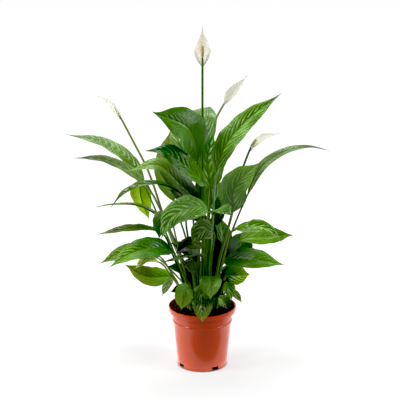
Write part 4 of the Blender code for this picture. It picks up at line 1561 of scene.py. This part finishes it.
@dataclass(frozen=True)
class Pot:
    """The nursery pot: a turned wall with a collar and a rolled rim, on a notched foot."""

    rim: float = 0.065  # outer radius
    height: float = 0.120
    lip_width: float = 0.0028
    lip_depth: float = 0.010
    collar_bottom: float = 0.092
    # heights and outer radii of the wall, in its collar and below
    collar: tuple[tuple[float, float], ...] = ((0.095, 0.0571), (0.106, 0.0586))
    body: tuple[tuple[float, float], ...] = (
        (0.013, 0.0487),
        (0.032, 0.0505),
        (0.060, 0.0533),
        (0.088, 0.0561),
    )
    bead: float = 0.0008  # how far the collar's lower edge stands out
    foot_height: float = 0.0085
    foot_radius: float = 0.0475
    foot_width: float = 0.0024
    wall: float = 0.0017
    floor_top: float = 0.0105
    pad: float = 0.008  # radius of the flat middle of its underside
    notch_width: float = 0.015
    notches: tuple[int, ...] = (-148, -58, 32, 122)  # azimuths; a drain hole is between each two
    drain_radius: float = 0.005
    drain_ring: float = 0.032
    drain_depth: float = 0.010
    notch_depth: float = 0.014
    clearance: float = 0.004  # how far a notch's cutter stands out under the foot
    sides: int = 160
    weld: float = 0.000005
    crease: float = 38.0

    def outline(self) -> list[tuple[float, float]]:
        """The wall's section.

        Returns:
            Radii and heights, from the middle of the floor up inside and down outside.
        """
        inside = [(radius - self.wall, height) for height, radius in (*self.body, *self.collar)]
        corner = inside[0][0]
        inner = self.rim - self.lip_width
        low = self.height - self.lip_depth
        out = self.collar[-1][1]
        neck = self.body[-1][1]
        bead = neck + self.bead
        h, r, c = self.height, self.rim, self.collar_bottom
        foot, foot_top = self.foot_radius, self.foot_height
        return [
            (0.0, self.floor_top),
            (corner - 0.0018, self.floor_top),
            (corner - 0.0009, self.floor_top + 0.0006),
            *inside,
            # the rolled rim, up inside, over its top and down outside
            (inner - 0.0006, h - 0.0035),
            (inner - 0.0001, h - 0.0009),
            (inner + 0.0003, h - 0.0003),
            (inner + 0.0009, h),
            (r - 0.0009, h),
            (r - 0.0003, h - 0.0003),
            (r, h - 0.0010),
            (r - 0.0002, h - 0.0045),
            (r - 0.0006, low + 0.0008),
            (r - 0.0009, low + 0.0002),
            (r - 0.0014, low),
            # the collar under it, down to its bead
            (out + 0.0016, low - 0.0001),
            (out + 0.0007, low - 0.0006),
            (out + 0.0002, low - 0.0018),
            (out, self.collar[-1][0]),
            (bead - 0.0001, c + 0.0014),
            (bead + 0.0006, c + 0.0009),
            (bead + 0.0009, c + 0.0002),
            (bead + 0.0009, c - 0.0008),
            (bead + 0.0005, c - 0.0016),
            (bead - 0.0004, c - 0.0021),
            (neck + 0.0005, c - 0.0025),
            (neck + 0.0001, c - 0.0034),
            *[(radius, height) for height, radius in reversed(self.body[:-1])],
            # the foot ring, and the pad in its middle
            (foot + 0.0008, foot_top + 0.0007),
            (foot + 0.0003, foot_top + 0.0001),
            (foot, foot_top - 0.0008),
            (foot - 0.0004, 0.0006),
            (foot - 0.0008, 0.0),
            (foot - self.foot_width, 0.0),
            (foot - self.foot_width, foot_top),
            (self.pad, foot_top),
            (self.pad - 0.0005, 0.0),
            (0.0, 0.0),
        ]

    def build(self, finish: PotFinish) -> bpy.types.Object:
        """Build the pot in the place of its CAD node.

        Args:
            finish: Its plastic.

        Returns:
            The piece.
        """
        bm = bmesh.new()
        points = [bm.verts.new((radius, 0, height)) for radius, height in self.outline()]
        for a, b in zip(points, points[1:]):
            bm.edges.new((a, b))
        turn = {"axis": (0, 0, 1), "angle": math.tau, "steps": self.sides, "use_merge": True}
        bmesh.ops.spin(bm, geom=bm.verts[:] + bm.edges[:], **turn)
        bmesh.ops.remove_doubles(bm, verts=bm.verts[:], dist=self.weld)
        bmesh.ops.recalc_face_normals(bm, faces=bm.faces)
        pot = show(poured("moulded_pot", bm))
        cutters = bpy.data.collections.new("pot_cutters")
        for cutter in self._cutters():
            cutters.objects.link(cutter)
        cut = pot.modifiers.new("cut", "BOOLEAN")
        cut.operand_type = "COLLECTION"
        cut.collection = cutters
        bpy.context.view_layer.update()
        graph = bpy.context.evaluated_depsgraph_get()
        shaped = bpy.data.meshes.new_from_object(pot.evaluated_get(graph))
        pot.modifiers.clear()
        pot.data = shaped
        for cutter in list(cutters.objects):
            bpy.data.objects.remove(cutter, do_unlink=True)
        bpy.data.collections.remove(cutters)
        shaped.shade_smooth()
        shaped.set_sharp_from_angle(angle=math.radians(self.crease))
        shaped.materials.clear()
        shaped.materials.append(finish.make())
        return settle(pot, "pot")

    def _cutters(self) -> Iterable[bpy.types.Object]:
        """The shapes that cut the foot's gaps and the floor's holes.

        Yields:
            One after the other, none of them in the scene.
        """
        size = (self.notch_depth, self.notch_width, self.foot_height + self.clearance)
        radius = self.foot_radius - self.foot_width / 2
        place = (radius, 0, (self.foot_height - self.clearance) / 2)
        depth = self.drain_depth
        drill = {"radius1": self.drain_radius, "radius2": self.drain_radius, "depth": depth}
        for i, azimuth in enumerate(self.notches, 1):
            bm = bmesh.new()
            bmesh.ops.create_cube(bm, size=1)
            bmesh.ops.scale(bm, vec=size, verts=bm.verts)
            bmesh.ops.translate(bm, vec=place, verts=bm.verts)
            upright = [e for e in bm.edges if abs(e.verts[0].co.z - e.verts[1].co.z) > 0.001]
            bmesh.ops.bevel(bm, geom=upright, offset=0.0006, segments=2, affect="EDGES")
            turn = Matrix.Rotation(math.radians(azimuth), 3, "Z")
            bmesh.ops.rotate(bm, matrix=turn, verts=bm.verts)
            yield poured(f"notch_{i}", bm)
            bm = bmesh.new()
            bmesh.ops.create_cone(bm, cap_ends=True, segments=32, **drill)
            hole = direction(azimuth + 45, 0) * self.drain_ring
            bmesh.ops.translate(bm, vec=(hole[0], hole[1], self.floor_top), verts=bm.verts)
            yield poured(f"drain_{i}", bm)


@dataclass(frozen=True)
class Soil:
    """The compost: a lumpy bed with crumbs and chips of bark on it."""

    wall_gap: float = 0.0004
    lip: float = 0.0012  # how far it stays off the rim's inside
    heap: float = 0.0016  # height of the loose top over the settled bed
    middle: float = 0.0004  # radius of its first and last ring
    rings: int = 52  # over its top
    sides: int = 120
    lump: float = 0.0010
    seed: int = 11
    crumbs: int = 1700
    spilled: int = 110  # crumbs on the rim
    spread: float = 0.0590
    edge: float = 0.0615  # no crumb reaches past it
    spill: tuple[float, float] = (0.0612, 0.0642)  # radii on the rim
    spill_side: tuple[float, float] = (185, 38)  # azimuth of most of them, and their spread
    stalk_room: float = 0.0026
    crumb_size: tuple[float, float] = (0.0007, 0.0019)
    chips: float = 0.22  # share of them that are chips of bark
    rough: float = 0.38

    def build(self, pot: Pot, finish: SoilFinish) -> bpy.types.Object:
        """Build the soil in the place of its CAD node.

        Args:
            pot: The pot that it fills.
            finish: Its compost.

        Returns:
            The piece.
        """
        tissue = Tissue()
        self._lay_bed(pot, tissue)
        self._strew(pot, tissue)
        return settle(tissue.piece("compost", finish.make()), "soil")

    def _lay_bed(self, pot: Pot, tissue: Tissue) -> None:
        """Add the bed that fills the pot.

        Args:
            pot: The pot.
            tissue: The mesh.
        """
        wall = [(r - pot.wall - self.wall_gap, z) for z, r in (*pot.body, *pot.collar)]
        edge = pot.rim - pot.lip_width - self.lip - self.wall_gap
        floor = pot.floor_top + self.wall_gap
        profile = [(self.middle, floor), (wall[0][0] - 0.0022, floor), *wall, (edge, CROWN.edge)]
        walls = len(profile)
        for radius in np.linspace(edge - 0.0003, self.middle, self.rings).tolist():
            profile.append((radius, CROWN.soil_height(radius, 0) + self.heap))
        angle = -np.arange(self.sides) / self.sides * math.tau
        rings = np.zeros((len(profile), self.sides, 3))
        veins = np.zeros_like(rings)
        for i, (radius, height) in enumerate(profile):
            for j, a in enumerate(angle):
                x, y, z = radius * math.cos(a), radius * math.sin(a), height
                if i >= walls:
                    where = Vector((x, y, 0))
                    z += self.lump * noise.fractal(where * 160, 0.9, 2.1, 4)
                    veins[i, j, 0] = max(0.0, 0.25 + 0.5 * noise.noise(where * 320))
                rings[i, j] = (x, y, z)
        tissue.loop(rings, veins, (1, 1, 1))

    def _strew(self, pot: Pot, tissue: Tissue) -> None:
        """Add crumbs of peat and chips of bark over the bed, and a few on the rim.

        Args:
            pot: The pot.
            tissue: The mesh.
        """
        chance = random.Random(self.seed)
        feet = [CROWN.foot(*grown.seat)[:2] for grown in (*LEAVES, *FLOWERS, *YOUNG.leaves)]
        ball = bmesh.new()
        bmesh.ops.create_icosphere(ball, subdivisions=2, radius=1)
        lump = [vert.co.copy() for vert in ball.verts]
        faces = [[vert.index for vert in face.verts] for face in ball.faces]
        ball.free()
        for i in range(self.crumbs + self.spilled):
            spilled = i >= self.crumbs
            a = chance.uniform(0, math.tau)
            radius = self.spread * math.sqrt(chance.random())
            chip = chance.random() < self.chips
            size = chance.uniform(*self.crumb_size) * (1.5 if chip else 1)
            if spilled:
                a = math.radians(chance.gauss(*self.spill_side))
                radius = chance.uniform(*self.spill)
                size *= 0.7
            x, y = radius * math.cos(a), radius * math.sin(a)
            near = min(math.hypot(x - fx, y - fy) for fx, fy in feet)
            if not spilled and (near < self.stalk_room + size or radius + size > self.edge):
                continue
            shape = (1, chance.uniform(0.35, 0.6), 0.22) if chip else (1, 0.85, 0.7)
            spin = Matrix.Rotation(chance.uniform(0, math.tau), 3, "Z")
            tilt = Matrix.Rotation(chance.uniform(-0.6, 0.6), 3, "X")
            ground = CROWN.soil_height(x, y) + self.heap + size * 0.25
            if spilled:
                ground = pot.height + size * (0.15 if chip else 0.55)
            centre = Vector((x, y, ground))
            shift = Vector((chance.random(), chance.random(), chance.random())) * 30
            points = []
            for corner in lump:
                rough = 1 + self.rough * noise.noise(corner * 1.7 + shift)
                body = Vector(c * k for c, k in zip(corner, shape)) * size * rough
                points.append(tuple(centre + spin @ (tilt @ body)))
            tint = chance.uniform(0.45, 1.0) if chip else chance.uniform(0.0, 0.4)
            tissue.loose(np.array(points), faces, tint)


# --------------------------------------------------------------------------- studio


@dataclass(frozen=True)
class Softbox:
    """A rectangular soft light that faces a place."""

    name: str
    place: Point
    size: tuple[float, float]
    power: float
    target: Point = (0.0, 0.0, 0.3)

    def build(self) -> None:
        """Hang the light."""
        lamp = bpy.data.lights.new(self.name, "AREA")
        lamp.shape = "RECTANGLE"
        lamp.size, lamp.size_y = self.size
        lamp.energy = self.power
        made = show(bpy.data.objects.new(self.name, lamp))
        made.location = self.place
        aim = Vector(self.target) - Vector(self.place)
        made.rotation_euler = aim.to_track_quat("-Z", "Y").to_euler()


@dataclass(frozen=True)
class Studio:
    """The floor, the lights and the camera."""

    camera_place: Point = (-0.0045, -2.6, 1.105)
    camera_pitch: float = 73.42
    lens: float = 129.5  # millimetres, as is the sensor
    sensor: float = 36.0
    sight: float = 100.0
    floor_size: float = 60.0
    front: float = 0.03  # light from the room in front
    behind: float = 0.6  # and from the white wall behind
    spread: tuple[float, float] = (-0.35, 0.55)  # where the one turns into the other
    black: float = 0.021  # the camera's black point
    sky: float = 1.03  # the room as the camera sees it
    lights: tuple[Softbox, ...] = (
        Softbox("left_box", (-1.9, -0.7, 1.5), (0.6, 1.4), 42),
        Softbox("right_box", (1.9, -0.5, 1.3), (0.6, 1.4), 32),
        Softbox("top_box", (-0.3, 0.3, 2.2), (0.8, 0.8), 34),
    )

    def build(self) -> None:
        """Set up the studio."""
        scene = bpy.context.scene
        view = scene.view_settings
        view.view_transform = "Standard"
        view.use_curve_mapping = True
        view.curve_mapping.black_level = (self.black,) * 3
        for light in self.lights:
            light.build()
        self._lay_floor()
        self._light_room()
        data = bpy.data.cameras.new("camera")
        data.lens = self.lens
        data.sensor_width = self.sensor
        data.clip_end = self.sight
        camera = show(bpy.data.objects.new("camera", data))
        camera.location = self.camera_place
        camera.rotation_euler = (math.radians(self.camera_pitch), 0, 0)
        scene.camera = camera

    def _lay_floor(self) -> None:
        """Lay the floor as a wide disc."""
        bm = bmesh.new()
        bmesh.ops.create_circle(bm, cap_ends=True, segments=96, radius=self.floor_size / 2)
        floor = show(poured("floor", bm))
        floor.data.materials.append(FloorFinish().make())
        floor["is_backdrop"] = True

    def _light_room(self) -> None:
        """Fill the room with even light, brighter from behind, and let the camera see white."""
        s = Shader("studio", world=True)
        _, depth, _ = s.parts_of(s.node("ShaderNodeTexCoord", None, None, "Generated"))
        room = depth.step(*self.spread, self.front, self.behind)
        seen = s.node("ShaderNodeLightPath", None, None, "Is Camera Ray")
        light = room * (1 - seen) + seen * self.sky
        inputs = {"Color": (1.0, 1.0, 1.0), "Strength": light}
        bpy.context.scene.world = s.finish(s.node("ShaderNodeBackground", None, inputs))


# --------------------------------------------------------------------------- main


def main() -> None:
    """Build the plant in its pot, and the studio round it."""
    logging.basicConfig(level=logging.INFO, format="%(name)s: %(message)s")
    Studio().build()
    pot = Pot()
    pot.build(PotFinish())
    Soil().build(pot, SoilFinish())
    finishes: dict[Any, bpy.types.Material] = {look: look.value.finish.make() for look in Look}
    for finish in (UNDERSIDE, PETIOLE, FLOWER_STALK, SPATHE, BEIGE_SPIKE, CREAM_SPIKE, PALE_SPIKE):
        finishes[finish] = finish.make()
    for leaf in LEAVES:
        leaf.build(finishes)
    YOUNG.build(finishes)
    for flower in FLOWERS:
        flower.build(finishes)
    boxes = {"cad": CAD_BOX, "visual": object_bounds()}
    {key: [list(corner) for corner in box] for key, box in boxes.items()}
    LOG.info("done")


if __name__ == "__main__":
    main()
